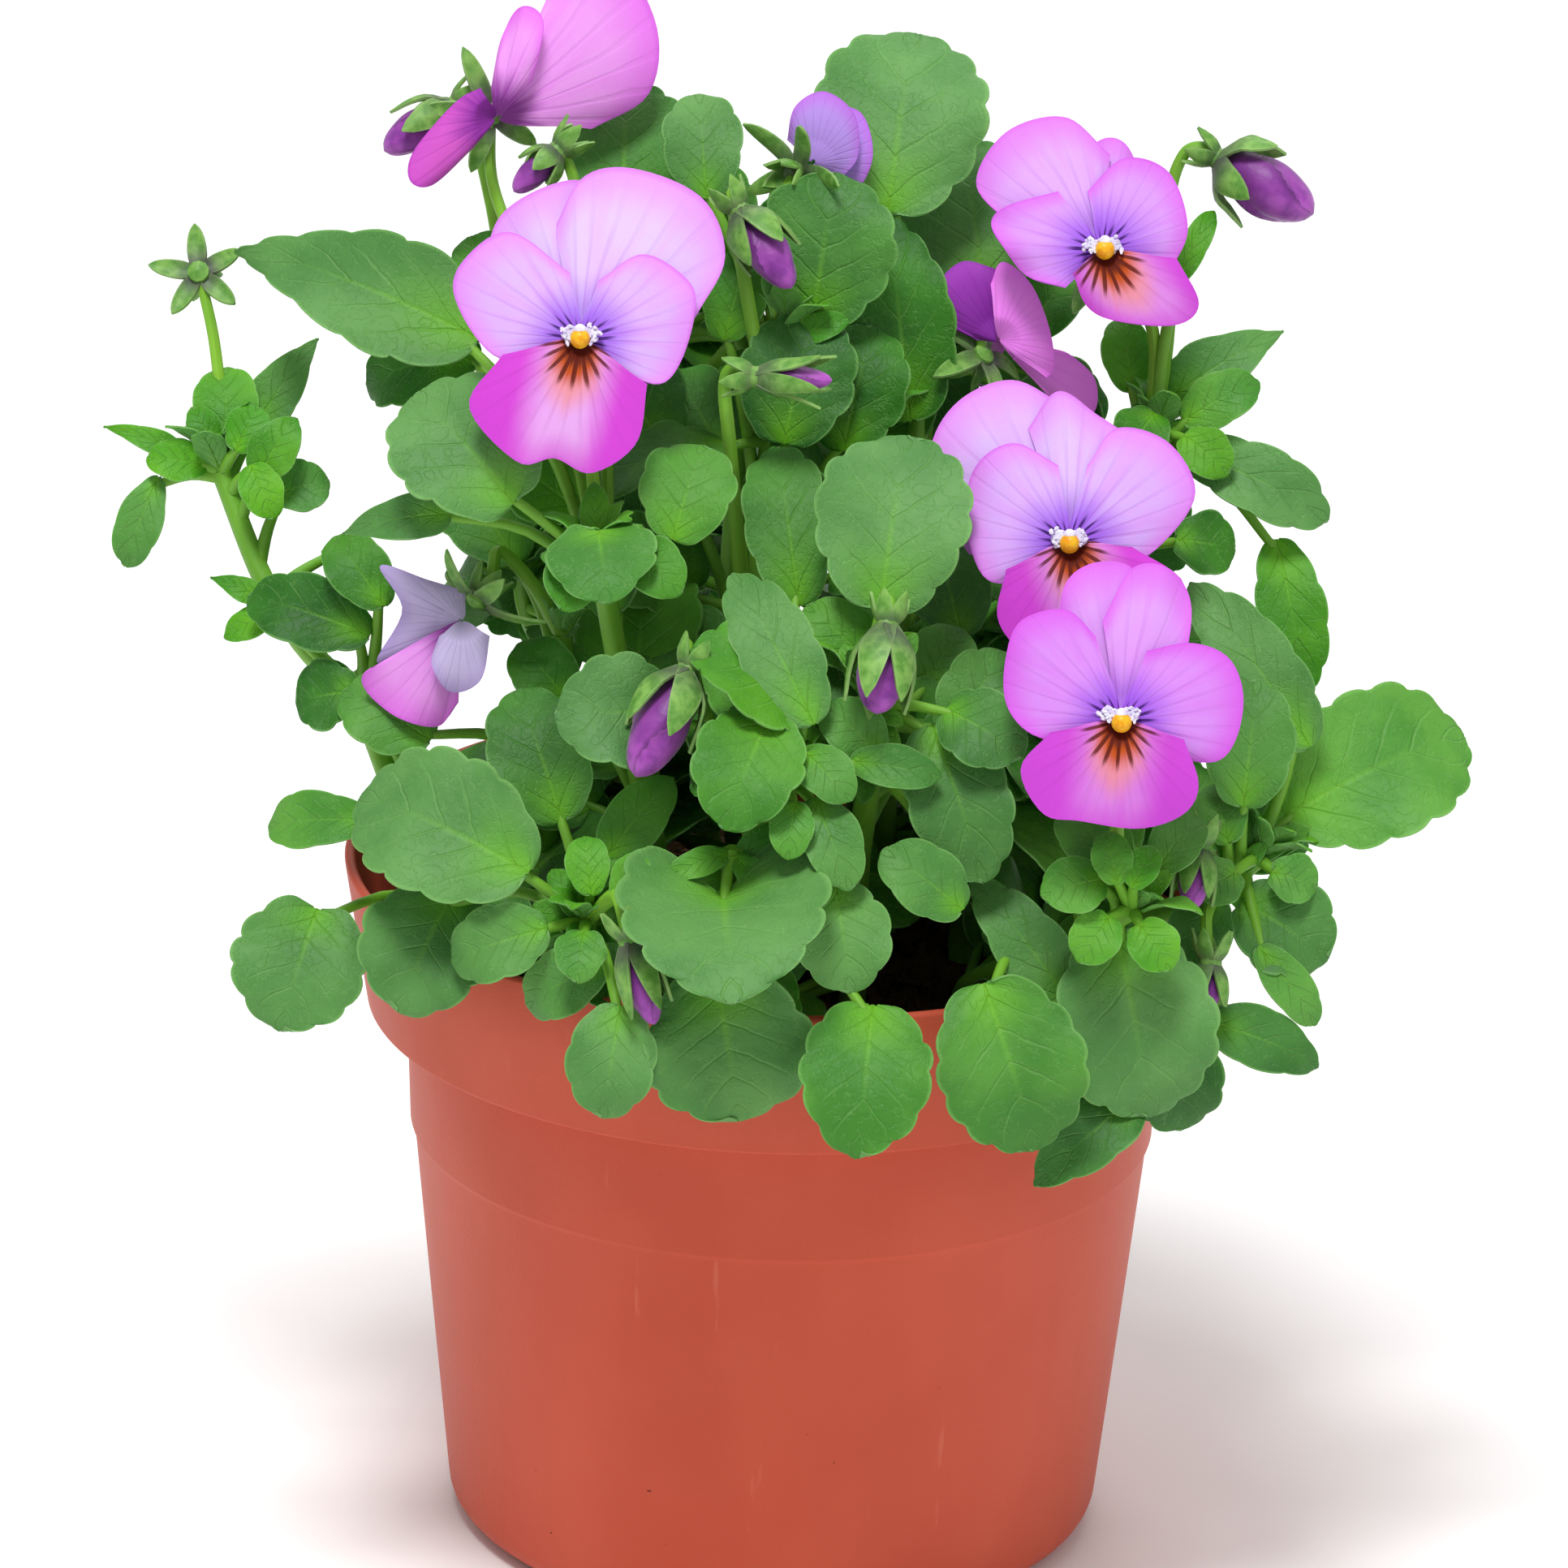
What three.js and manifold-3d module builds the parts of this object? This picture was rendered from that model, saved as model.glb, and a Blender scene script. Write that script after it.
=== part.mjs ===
// A pansy plant in its 12 cm nursery pot, in millimetres, with +Z up.
// The origin is the middle of the pot's flat base.
import * as THREE from "three";
import { mergeVertices } from "three/addons/utils/BufferGeometryUtils.js";
import Module from "manifold-3d";

const wasm = await Module();
wasm.setup();

// ---- Driving sizes ----
const GAP = 0.35; // between neighbouring pieces
const POT_HEIGHT = 95;
const RIM_RADIUS = 60;
const RIM_FOOT_RADIUS = 56.8; // outside, at the lower edge of the rim band
const BAND_HEIGHT = 20.7;
const LIP_BEVEL = 0.4;
const BODY_TOP_RADIUS = 51.4; // outside, just under the rim band
const STEP_HEIGHT = 56.4; // a small step in the body
const STEP_UPPER_RADIUS = 50.7;
const STEP_LOWER_RADIUS = 50.1;
const FOOT_RADIUS = 44.8;
const FOOT_ROUNDING = 4.5;
const STEP_SLOPE = 0.3;
const WALL = 1.6;
const FLOOR = 2; // thickness of the pot's base
const CORNER = 3; // bevel between its wall and its base, inside
const POT_SIDES = 28;
const DRAIN_HOLES = 8;
const DRAIN_RADIUS = 4;
const DRAIN_CIRCLE = 30;

const SOIL_TOP = 81;
const SOIL_LUMP = 1.1;
const HOLE_DEPTH = 6.5;
const HOLE_PLAY = 1.2;

// Where a blade is broadest, and how sharp its ends are. Half is a circle's end.
const FORMS = { round: [0.5, 0.5], egg: [0.42, 0.65], spoon: [0.62, 0.6], lance: [0.32, 0.85] };
const LARGE_LEAF = 20; // shorter blades have no fold
const BLUNT_TIP = 0.2; // half width of the tip, as a share of the greatest
const TEETH = [0.88, 1.05]; // the margin steps in and out by these shares
const LEAF_STAGGER = 0.006; // along the stem, as a share of it
const LEAF_THICKNESS = 0.9;
const PETAL_THICKNESS = 0.8;
const LEAF_ARCH = 0.1; // rise of the blade's middle, per length
const LEAF_FOLD = 0.16; // rise of its margins, per half width
const PETIOLE_RADIUS = 0.9;
const PETIOLE_INTO_BLADE = 0.1; // of the blade's length
const LONG_PETIOLE = 15;
const PETIOLE_RISE = 0.12; // of a long petiole, per length
const STEM_SIDES = 5;
const THIN_SIDES = 3; // of stalks and petioles
const STALK_RADIUS = 1;
const STEM_RADIUS = 1.7;
const LAYER = 1.6; // between petals that lie over each other
const PETAL_CELLS = 4;
const PETAL_FOOT = 0.12; // where a petal starts, as a share of its reach from the eye
const FOOT_SPREAD = 0.66; // how far a petal's foot is drawn in to its middle
const PETAL_CURL = 0.006; // how far its outer parts fall back, per mm squared
const PETAL_RIPPLE = 0.25;
const HUB_RADIUS = 2.6;
const CALYX_BACK = 3.9; // from the middle of a bloom to its calyx
const CALYX_RADIUS = 1.8;
const CALYX_HEIGHT = 1.8;
const SEPALS = 5;
const BUD_PLAY = 1.5; // between a bud and the tips of its sepals
const BUD_HOLD = 0.35; // how far its sepals rise round it, as a share of its length
const OPEN_CALYX = [9, -2.4]; // how far its tips reach out, and how far forward
const SPENT_CALYX = [6.8, 0.6];

// Places on the plant are given as [right, up, near] as they are seen from the front:
// right and up on the plane through the pot's axis, and near towards the viewer.
const VIEW_DISTANCE = 1300;
const VIEW_ELEVATION = THREE.MathUtils.degToRad(20.4);
const VIEW_ROLL = THREE.MathUtils.degToRad(1.5);
const VIEW_TARGET = new THREE.Vector3(-0.8, 0, 105);

const sinE = Math.sin(VIEW_ELEVATION);
const cosE = Math.cos(VIEW_ELEVATION);
const sinR = Math.sin(VIEW_ROLL);
const cosR = Math.cos(VIEW_ROLL);
const RIGHT = new THREE.Vector3(cosR, sinR * sinE, sinR * cosE);
const UP = new THREE.Vector3(-sinR, cosR * sinE, cosR * cosE);
const NEAR = new THREE.Vector3(0, -cosE, sinE);
const AXIS = new THREE.Vector3(0, 0, 1);

// ---- The plant's layout ----
// Each stem: where it stands in the soil (x, y), the places it passes, and what it carries.
// A leaf is [where on the stem, base, tip, width, form]; a stalk is [where, its places].
// turn swings a whole stem round the pot's axis, in degrees, for the sides and the back.
const STEMS = {
  left_far: {
    root: [-41, -9],
    path: [[-51, -4, 14], [-57, 10, 14], [-65, 19, 12], [-70.5, 28, 10], [-76, 42, 8]],
    leaves: [
      [1, [-84.5, 41.5, 8], [-89, 29.5, 9], 6.5, "spoon"],
      [1, [-75, 45, 9], [-75.5, 56.5, 4], 9],
      [1, [-71.5, 48, 7], [-63, 60.5, 3], 7, "lance"],
      [0.96, [-71, 41.5, 12], [-66, 49.5, 12], 7, "egg"],
      [0.9, [-68.5, 39, 9], [-61.5, 41, 8], 7.5],
      [0.62, [-56, 20, 22], [-72.5, 25.5, 19], 10.5],
      [0.6, [-54, 24, 27], [-61, 33.5, 23], 8.5],
      [0.42, [-58, 12.5, 23], [-66, 11, 21], 10],
      [0.3, [-63, -17, 24], [-68, -33, 29], 18.5],
    ],
    stalks: [[1, [[-76, 50, 6], [-77, 60, 4], [-79, 69, 3]]]],
  },
  left_mid: {
    root: [-16, -10],
    path: [[-18, -6, 20], [-22, 14, 32], [-25, 31, 41]],
    leaves: [
      [0.98, [-36.5, 38, 44], [-50, 53, 38], 20],
      [0.96, [-45, 36.5, 39], [-60, 34, 34], 6.5, "lance"],
      [0.94, [-41, 60, 24], [-75, 73, 8], 17, "lance"],
      [1, [-15, 33, 43], [-11, 46, 38], 13],
      [1, [-25, 34, 47], [-24, 25, 56], 15],
    ],
    stalks: [
      [0.95, [[-28, 44, 32], [-33, 62, 26], [-37, 74, 20], [-39.5, 82, 15.5]]],
      [1, [[-26, 44, 37], [-26.5, 57, 37], [-27.5, 61.5, 40]]],
      [0.9, [[-31, 44, 24], [-37, 64, 16], [-39.5, 78, 12.5], [-42, 88, 14]]],
      [0.92, [[-24, 46, 30], [-25, 66, 28], [-28.5, 82, 27]]],
    ],
  },
  left_low: {
    root: [-24, -26],
    path: [[-25, -28, 30], [-27, -18, 48]],
    leaves: [
      [0.96, [-34.5, -12, 51], [-57.5, -1, 42], 20.5],
      [1, [-45, -15, 40], [-52, -30.5, 45], 18],
      [1, [-32, -19.5, 51], [-45, -24, 49], 10.5],
      [1, [-27, -20, 54], [-28, -26.5, 58], 7],
      [0.98, [-22, -30, 59], [-24.5, -45, 60], 12],
      [0.92, [-24, -10, 46], [-15, 1, 43], 8, "egg"],
      [0.9, [-30, -5, 37], [-36, 13, 32], 14],
      [0.86, [-24, -24, 52], [-35, -30, 50], 9],
    ],
    stalks: [[0.98, [[-23, -15, 56], [-21.5, -19, 61]]]],
  },
  left_back: {
    root: [-30, 8],
    path: [[-32, -8, 12], [-30, 8, 20], [-30, 20, 22]],
    leaves: [
      [0.6, [-55, -5, 32], [-70, -5.5, 26], 8, "spoon"],
      [0.75, [-48, 6, 32], [-60, 12.5, 28], 11],
      [0.9, [-36, 30, 16], [-47, 45, 6], 13],
    ],
    stalks: [[1, [[-34, 27, 25], [-38.5, 31.5, 28], [-39.5, 28, 30]]]],
  },
  mid_front: {
    root: [-6, -22],
    path: [[-6, -14, 30], [-2, -3, 45], [0, 2, 50]],
    leaves: [
      [1, [4, 8, 54], [-7, 29, 46], 11, "egg"],
      [0.98, [-2, 9, 54], [-8, -5.5, 63], 15],
      [0.94, [-15, 9, 50], [-30.5, 9.5, 56], 16],
      [0.98, [4, -2, 56], [9, -14, 60], 8],
      [0.9, [2, 24, 40], [-1, 46, 32], 12],
    ],
    stalks: [[0.8, [[-10, 8, 48], [-13, 18.5, 50], [-13, 17, 53]]]],
  },
  mid_low: {
    root: [-8, -37],
    path: [[-8, -24, 40], [-7, -9, 51]],
    leaves: [
      [1, [-8.5, -13, 50], [-7, -28.5, 68], 28],
      [0.96, [-9, -27, 57], [-6, -45.5, 65], 23],
      [0.94, [12, -30, 57], [10, -50, 57], 17.5],
      [0.98, [7, -14, 55], [9, -28, 58], 13],
    ],
    stalks: [],
  },
  mid_right: {
    root: [9, -20],
    path: [[10, -10, 28], [12, 4, 44], [11, 12, 46]],
    leaves: [
      [1, [13, 23.5, 47], [16.5, 47.5, 40], 21],
      [0.95, [20, 8, 48], [27, -13, 52], 14],
      [0.98, [22, 10, 50], [32, 4, 52], 11],
      [0.8, [24, -17, 52], [13.5, -9, 54], 9.5],
    ],
    stalks: [[0.92, [[12.5, 18, 48], [14, 24.5, 51], [14.4, 23.2, 53.5]]]],
  },
  mid_back: {
    root: [-4, 6],
    path: [[-4, 0, 2], [-3, 34, 16], [0, 60, 20]],
    leaves: [
      [1, [4, 63, 22], [7, 82.5, 15], 20],
      [0.95, [-22, 76, 12], [-21, 95, 4], 18],
      [0.97, [-10.5, 79, 22], [-11.5, 93.5, 17], 11],
      [0.8, [17, 49, 16], [14, 77, 8], 15, "egg"],
      [0.7, [-16, 44, 16], [-26, 62, 8], 15],
    ],
    stalks: [
      [0.96, [[-2, 70, 23], [-0.5, 78, 24]]],
      [0.9, [[-5, 66, 25], [-7, 79, 26], [-6.5, 78.5, 28]]],
      [0.62, [[-7, 42, 32], [-8, 54, 37], [-6, 56.5, 39]]],
    ],
  },
  right_back: {
    root: [13, 7],
    path: [[14, 6, 4], [17, 38, 10], [19, 58, 9]],
    leaves: [
      [1, [14, 77, 14], [17.5, 102, 6], 24],
      [1, [27, 66, 4], [24, 87, -4], 20],
      [0.7, [30, 40, 18], [42, 56, 12], 15],
    ],
    stalks: [[0.96, [[22, 64, 12], [25, 66, 13], [26.5, 62, 14]]]],
  },
  right_top: {
    root: [24, -4],
    path: [[28, 0, 18], [40, 24, 18], [50, 47, 14]],
    leaves: [
      [1, [53, 45.5, 15], [73.5, 36, 18], 10, "spoon"],
      [1, [66.5, 33, 14], [70.5, 12.5, 17], 9.5],
      [1, [52, 52, 11], [67.5, 61.5, 8], 9, "lance"],
      [0.98, [54, 49, 17], [64, 54.5, 18], 7.5],
      [0.85, [53, 33, 27], [61, 31.5, 25], 9],
      [0.6, [24, 20, 30], [20, 34, 26], 12],
    ],
    stalks: [
      [0.98, [[50, 60, 13], [46, 70, 14], [43.5, 74, 18]]],
      [0.55, [[38, 24, 30], [38, 34, 36], [38.5, 34.5, 39]]],
      [1, [[52, 62, 10], [52, 78, 10], [54, 85, 11], [57, 86, 12]]],
    ],
  },
  right_low: {
    root: [24, -30],
    path: [[27, -26, 32], [38, -22, 44], [47, -17, 50]],
    leaves: [
      [0.72, [27, -27, 54], [34, -49.5, 54], 20],
      [0.98, [45, -20, 47], [49.5, -45, 46], 22],
      [0.85, [39.5, -31, 51], [25.5, -12.5, 54], 9.5, "egg"],
      [0.8, [48, -42, 45], [34, -54, 50], 9.5, "egg"],
      [1, [43, -13, 54], [35, -15, 57], 8],
      [1, [50, -12, 49], [56, -4, 46], 7],
      [0.94, [51, -31, 42], [54, -47, 43], 13],
    ],
    stalks: [[0.97, [[45, -8, 54], [45, 6, 55.5], [45.5, 10, 56.3]]]],
  },
  right_far: {
    root: [36, -14],
    path: [[42, -20, 26], [56, -16, 32], [64, -10, 33]],
    leaves: [
      [0.98, [67.5, -4.5, 30], [92, 7.5, 22], 21.5],
      [0.95, [62, -16, 35], [73.5, -23.5, 36], 14],
      [0.9, [57, -32, 39], [72.5, -38, 36], 8.5, "egg"],
      [1, [71, 5, 34], [55, 27.5, 31], 11, "egg"],
      [0.96, [62, -3, 40], [64, 14, 40], 12],
      [0.92, [60, -8, 39], [58, 0, 38], 7],
    ],
    stalks: [
      [0.8, [[56, -10, 40], [56.5, -7, 43]]],
      [0.85, [[57, -18, 42], [57.5, -24, 43]]],
    ],
  },
};

// The stems on the unseen side: crowns of leaves that face outwards, placed by one rule.
// [turn, crown's place, leaves, length and width of a leaf]
const BACK_CROWNS = {
  back_east: [86, [2, 5, 50], 6, 25, 20],
  back_north_east: [124, [0, -3, 53], 6, 26, 21],
  back_north: [163, [-2, 8, 54], 6, 27, 22],
  back_north_west: [202, [2, -3, 53], 6, 26, 21],
  back_west: [240, [-2, 6, 50], 6, 25, 20],
  back_high_east: [143, [2, 44, 48], 6, 25, 19],
  back_high_west: [206, [-2, 47, 46], 6, 25, 19],
};
const BACK_ROOT_RADIUS = 30;
const BACK_LEAF_GAP = 6; // from the crown to the first leaf's blade
const GOLDEN_ANGLE = THREE.MathUtils.degToRad(137.5);

// Blooms: the eye's place, how the face leans (nearness gained per mm right and up),
// and each petal's outer points [right, up], in front of or behind the face by its layer.
// back names the side where the calyx sits, if it isn't straight behind the face.
const BLOOMS = {
  bloom_top_left: {
    eye: [-39, 90, 22],
    lean: [-0.2, 0.1],
    petals: [
      [-1, [[-33.5, 98], [-31, 108], [-26, 111], [-20.5, 109], [-17, 101], [-18.5, 93], [-26, 88.5]]],
      [1, [[-39.5, 94], [-38, 101], [-35.5, 105], [-32.5, 103], [-34, 95]]],
      [2, [[-41, 94], [-44.5, 92], [-50, 85.5], [-50.5, 81.5], [-47.5, 81], [-42, 86]]],
    ],
  },
  bloom_left: {
    eye: [-27.5, 60, 46],
    lean: [0, -0.25],
    petals: [
      [-2, [[-41, 68], [-38, 77], [-29, 81.5], [-22, 79]]],
      [-1, [[-31, 75], [-27, 82], [-20, 83], [-11, 79], [-8, 71], [-12, 63]]],
      [0, [[-29, 69], [-37, 74.5], [-43, 71], [-44.5, 66], [-40, 58.5], [-33, 56]]],
      [0, [[-25, 68], [-19, 71.5], [-13, 68], [-12, 64], [-14, 57], [-17, 54], [-23, 56]]],
      [1, [[-38, 58], [-42.5, 51], [-36, 43.5], [-31, 44], [-26, 42], [-20, 46], [-18.5, 54]]],
    ],
  },
  bloom_right_top: {
    eye: [43, 72, 24],
    lean: [-0.1, -0.25],
    petals: [
      [-2, [[39, 81], [42, 86.5], [46, 86.5], [49, 80]]],
      [-1, [[31, 75], [26, 81], [30, 88], [38, 90], [44, 85]]],
      [0, [[41, 80], [46, 84.5], [52, 82.5], [54.5, 75], [52, 69]]],
      [0, [[37, 80], [30, 78], [28, 75.5], [30, 72], [33, 68.5], [38, 67]]],
      [1, [[39, 69], [41, 64.5], [45, 62.5], [53, 62], [56, 65], [53, 71]]],
    ],
  },
  bloom_right: {
    eye: [38.5, 32.5, 44],
    lean: [0, -0.2],
    petals: [
      [-2, [[25, 31], [20.5, 38], [20, 46], [24, 52], [31, 54.5], [38, 51]]],
      [-1, [[33, 48], [37, 53], [42, 50], [47, 46], [48, 39]]],
      [0, [[37, 43], [31, 46], [26, 43], [24.5, 36], [27, 28], [33, 27]]],
      [0, [[41, 43], [45, 48], [52, 46], [55.5, 39], [50, 31.5], [44, 29]]],
      [1, [[30, 29], [29, 22], [34, 17], [44, 16], [52, 20], [54, 27], [47, 32]]],
    ],
  },
  bloom_front: {
    eye: [45.5, 8.5, 61],
    lean: [0, -0.15],
    petals: [
      [-2, [[37, 18], [38, 27], [43, 30], [48, 28], [50, 18]]],
      [-1, [[43, 22], [47, 29], [52, 29], [55, 24], [54, 15]]],
      [0, [[42, 20], [38, 23.5], [32, 22], [30, 17], [30, 11], [33, 7], [39, 5]]],
      [0, [[49, 18], [55, 19], [60, 17], [62, 12], [61, 6], [58, 3], [51, 4]]],
      [1, [[36, 7], [32, 2], [35, -4], [40, -5], [48, -6], [54, -4], [56, 0], [54, 6]]],
    ],
  },
  bloom_profile: {
    eye: [29, 60, 16],
    lean: [-0.2, 0],
    back: [-0.6, -0.55, -0.6],
    petals: [
      [-2, [[34, 59], [38.5, 58], [42, 54.5], [41.5, 50], [36, 52]]],
      [-1, [[26, 60], [21, 63], [20.5, 67], [24, 70.5], [29, 69.5]]],
      [1, [[27, 68], [30, 71], [35, 68], [38, 60], [37.5, 55], [33, 55]]],
    ],
  },
  bloom_half_open: {
    eye: [4, 84, 18],
    lean: [0.2, 0.1],
    back: [-0.6, -0.35, 0.7],
    petals: [
      [-2, [[6, 92], [10.5, 90.5], [12, 85], [10, 80.5], [6.5, 80]]],
      [-0.5, [[0.5, 87], [1.5, 91.5], [5.5, 93.5], [9.5, 90.5], [10, 85], [8, 82]]],
    ],
  },
  bloom_wilted: {
    eye: [-43.5, 22, 31],
    lean: [0.1, 0.1],
    back: [0.5, 0.75, -0.2],
    petals: [
      [-1, [[-43, 26], [-48, 27.5], [-54.5, 29.5], [-51.5, 23.5], [-55, 16.5], [-49, 18.5]]],
      [0.5, [[-50, 18], [-57, 14.5], [-53, 9.5], [-47, 7.8], [-44, 11]]],
      [2, [[-46.5, 20], [-47.5, 16], [-45, 12.5], [-41, 14], [-39.8, 20]]],
    ],
  },
};

// Two more blooms face away from the viewer, with the outlines of two of those in front.
// [the bloom that it looks like, turn, eye's place, the stem that carries it]
const BACK_BLOOMS = {
  bloom_back_east: ["bloom_left", 160, [2, 30, 70], "back_high_east"],
  bloom_back_west: ["bloom_front", 206, [-2, 24, 72], "back_high_west"],
};

// Buds: the calyx's place, the tip's place and the radius of the folded petals.
const BUDS = {
  bud_top_left: [[-44.5, 91.5, 15], [-54, 85.5, 16], 3],
  bud_left_dark: [[-30.5, 85.5, 28], [-36.5, 80, 29], 2],
  bud_mid_top: [[-6, 77.5, 29], [1, 67, 32], 3],
  bud_mid: [[-4, 55, 40], [6.5, 54.5, 42], 1.9],
  bud_right_top: [[58.5, 84.5, 12.5], [71.5, 77, 14], 4.4],
  bud_front: [[-13, 15.5, 54], [-20, 1, 57], 3.8],
  bud_front_right: [[14, 21.5, 54], [12.5, 9.5, 57], 3.4],
  bud_low_left: [[-21, -21, 62], [-17.5, -32.5, 62], 2.2],
  bud_low_right: [[56, -8.5, 44], [55, -17, 46], 2],
  bud_small: [[57.6, -24, 43.2], [57, -31, 43.5], 1.8],
};

// What each stalk ends in, in the order of its stem's stalks.
const CARRIES = {
  left_far: ["spent"],
  left_mid: ["bloom_top_left", "bloom_left", "bud_top_left", "bud_left_dark"],
  left_low: ["bud_low_left"],
  left_back: ["bloom_wilted"],
  mid_front: ["bud_front"],
  mid_low: [],
  mid_right: ["bud_front_right"],
  mid_back: ["bloom_half_open", "bud_mid_top", "bud_mid"],
  right_back: ["bloom_profile"],
  right_top: ["bloom_right_top", "bloom_right", "bud_right_top"],
  right_low: ["bloom_front"],
  right_far: ["bud_low_right", "bud_small"],
};

// ---- Materials ----
const matt = (color, roughness) => new THREE.MeshStandardMaterial({ color, roughness, metalness: 0 });
const TERRACOTTA = matt(0xb85038, 0.5);
const PEAT = matt(0x2a1a12, 0.95);
const LEAF_GREEN = matt(0x3f7d2a, 0.6);
const PINK_PETAL = matt(0xe39aec, 0.65);
const PURPLE_PETAL = matt(0x7a2f9a, 0.6);

// ---- Shapes ----

function seen([right, up, near], turn = 0) {
  const scale = (VIEW_DISTANCE - near) / VIEW_DISTANCE;
  return VIEW_TARGET.clone()
    .addScaledVector(RIGHT, right * scale)
    .addScaledVector(UP, up * scale)
    .addScaledVector(NEAR, near)
    .applyAxisAngle(AXIS, THREE.MathUtils.degToRad(turn));
}

function seenDirection([right, up, near], turn = 0) {
  return new THREE.Vector3()
    .addScaledVector(RIGHT, right)
    .addScaledVector(UP, up)
    .addScaledVector(NEAR, near)
    .applyAxisAngle(AXIS, THREE.MathUtils.degToRad(turn))
    .normalize();
}

// A closed geometry as a solid that faces out.
function solidOf(geometry) {
  const bare = geometry.clone();
  bare.deleteAttribute("normal");
  bare.deleteAttribute("uv");
  const merged = mergeVertices(bare, 1e-4);
  const points = merged.attributes.position.array;
  const triVerts = new Uint32Array(merged.index.array);
  if (signedVolume(points, triVerts) < 0) triVerts.reverse();
  return new wasm.Manifold(
    new wasm.Mesh({ numProp: 3, vertProperties: new Float32Array(points), triVerts })
  );
}

function signedVolume(points, triVerts) {
  const corner = (i) => new THREE.Vector3().fromArray(points, 3 * triVerts[i]);
  let sum = 0;
  for (let i = 0; i < triVerts.length; i += 3) {
    sum += corner(i).dot(corner(i + 1).cross(corner(i + 2)));
  }
  return sum / 6;
}

function meshOf(name, solid, material) {
  const { vertProperties, triVerts } = solid.getMesh();
  const geometry = new THREE.BufferGeometry();
  geometry.setAttribute("position", new THREE.BufferAttribute(vertProperties, 3));
  geometry.setIndex(new THREE.BufferAttribute(triVerts, 1));
  geometry.computeVertexNormals();
  const mesh = new THREE.Mesh(geometry, material);
  mesh.name = name;
  return mesh;
}

const joined = (solids) => wasm.Manifold.union(solids);

// Pieces grown together as one body: hollows that they seal are filled, scraps dropped.
function grown(solids) {
  const bodies = joined(solids).decompose().filter((body) => body.volume() > 0);
  return bodies.reduce((largest, body) => (body.volume() > largest.volume() ? body : largest));
}

function curveOf(points) {
  return new THREE.CatmullRomCurve3(points, false, "catmullrom", 0.5);
}

function tube(points, radius, sides, steps) {
  const ring = new THREE.Shape();
  for (let i = 0; i < sides; i++) {
    const angle = (2 * Math.PI * i) / sides;
    const corner = [radius * Math.cos(angle), radius * Math.sin(angle)];
    if (i === 0) ring.moveTo(...corner);
    else ring.lineTo(...corner);
  }
  return solidOf(new THREE.ExtrudeGeometry(ring, { steps, extrudePath: curveOf(points) }));
}

// A sheet over a grid of points. Each row has its own normal and thickness, and both faces
// have one pattern of triangles.
function sheet(rows) {
  const across = rows[0].points.length;
  const positions = [];
  for (const side of [0.5, -0.5]) {
    for (const { points, normal, thickness } of rows) {
      for (const point of points) {
        positions.push(...point.clone().addScaledVector(normal, side * thickness));
      }
    }
  }
  const under = rows.length * across;
  const at = (i, j) => i * across + j;
  const index = [];
  const quad = (a, b, c, d) => index.push(a, b, c, a, c, d);
  for (let i = 0; i + 1 < rows.length; i++) {
    for (let j = 0; j + 1 < across; j++) {
      const [a, b, c, d] = [at(i, j), at(i, j + 1), at(i + 1, j + 1), at(i + 1, j)];
      index.push(a, b, c, a, c, d, under + a, under + c, under + b, under + a, under + d, under + c);
    }
    quad(at(i, 0), at(i + 1, 0), at(i + 1, 0) + under, at(i, 0) + under);
    const last = across - 1;
    quad(at(i + 1, last), at(i, last), at(i, last) + under, at(i + 1, last) + under);
  }
  const end = rows.length - 1;
  for (let j = 0; j + 1 < across; j++) {
    quad(at(0, j + 1), at(0, j), at(0, j) + under, at(0, j + 1) + under);
    quad(at(end, j), at(end, j + 1), at(end, j + 1) + under, at(end, j) + under);
  }
  const geometry = new THREE.BufferGeometry();
  geometry.setAttribute("position", new THREE.Float32BufferAttribute(positions, 3));
  geometry.setIndex(index);
  return solidOf(geometry);
}

// Half width of a leaf's blade, as a share of its greatest half width.
function outlineOf(t, form) {
  const [peak, sharpness] = FORMS[form];
  const q = Math.pow(t, Math.log(0.5) / Math.log(peak));
  return Math.pow(4 * q * (1 - q), sharpness);
}

// A leaf's blade: arched along its length, folded along its midrib, toothed at its margins.
// extra thickens it all round.
function blade(base, tip, width, form, facing, extra = 0) {
  const along = tip.clone().sub(base);
  const length = along.length();
  const large = length > LARGE_LEAF;
  const across = along.clone().cross(facing).normalize();
  const normal = across.clone().cross(along).normalize();
  const cells = large ? 5 : 4;
  const rows = [];
  for (let i = 0; i <= cells; i++) {
    const t = i / cells;
    const half = (width / 2) * Math.max(outlineOf(t, form) * TEETH[i % 2], BLUNT_TIP) + extra;
    const middle = base.clone().addScaledVector(along, t + (extra * (2 * t - 1)) / length);
    middle.addScaledVector(normal, 4 * t * (1 - t) * LEAF_ARCH * length);
    const edge = (side) =>
      middle
        .clone()
        .addScaledVector(across, side * half)
        .addScaledVector(normal, large ? LEAF_FOLD * half : 0);
    const points = large ? [edge(-1), middle, edge(1)] : [edge(-1), edge(1)];
    rows.push({ points, normal, thickness: LEAF_THICKNESS + 2 * extra });
  }
  return sheet(rows);
}

// A petiole runs from its stem a short way into the blade. A long one rises on its way.
function petiole(from, base, tip, extra = 0) {
  const reach = base.distanceTo(from);
  const inside = base.clone().lerp(tip, PETIOLE_INTO_BLADE);
  if (reach < LONG_PETIOLE) return tube([from, inside], PETIOLE_RADIUS + extra, THIN_SIDES, 1);
  const knee = from.clone().lerp(base, 0.5).addScaledVector(AXIS, PETIOLE_RISE * reach);
  return tube([from, knee, inside], PETIOLE_RADIUS + extra, THIN_SIDES, 2);
}

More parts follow.
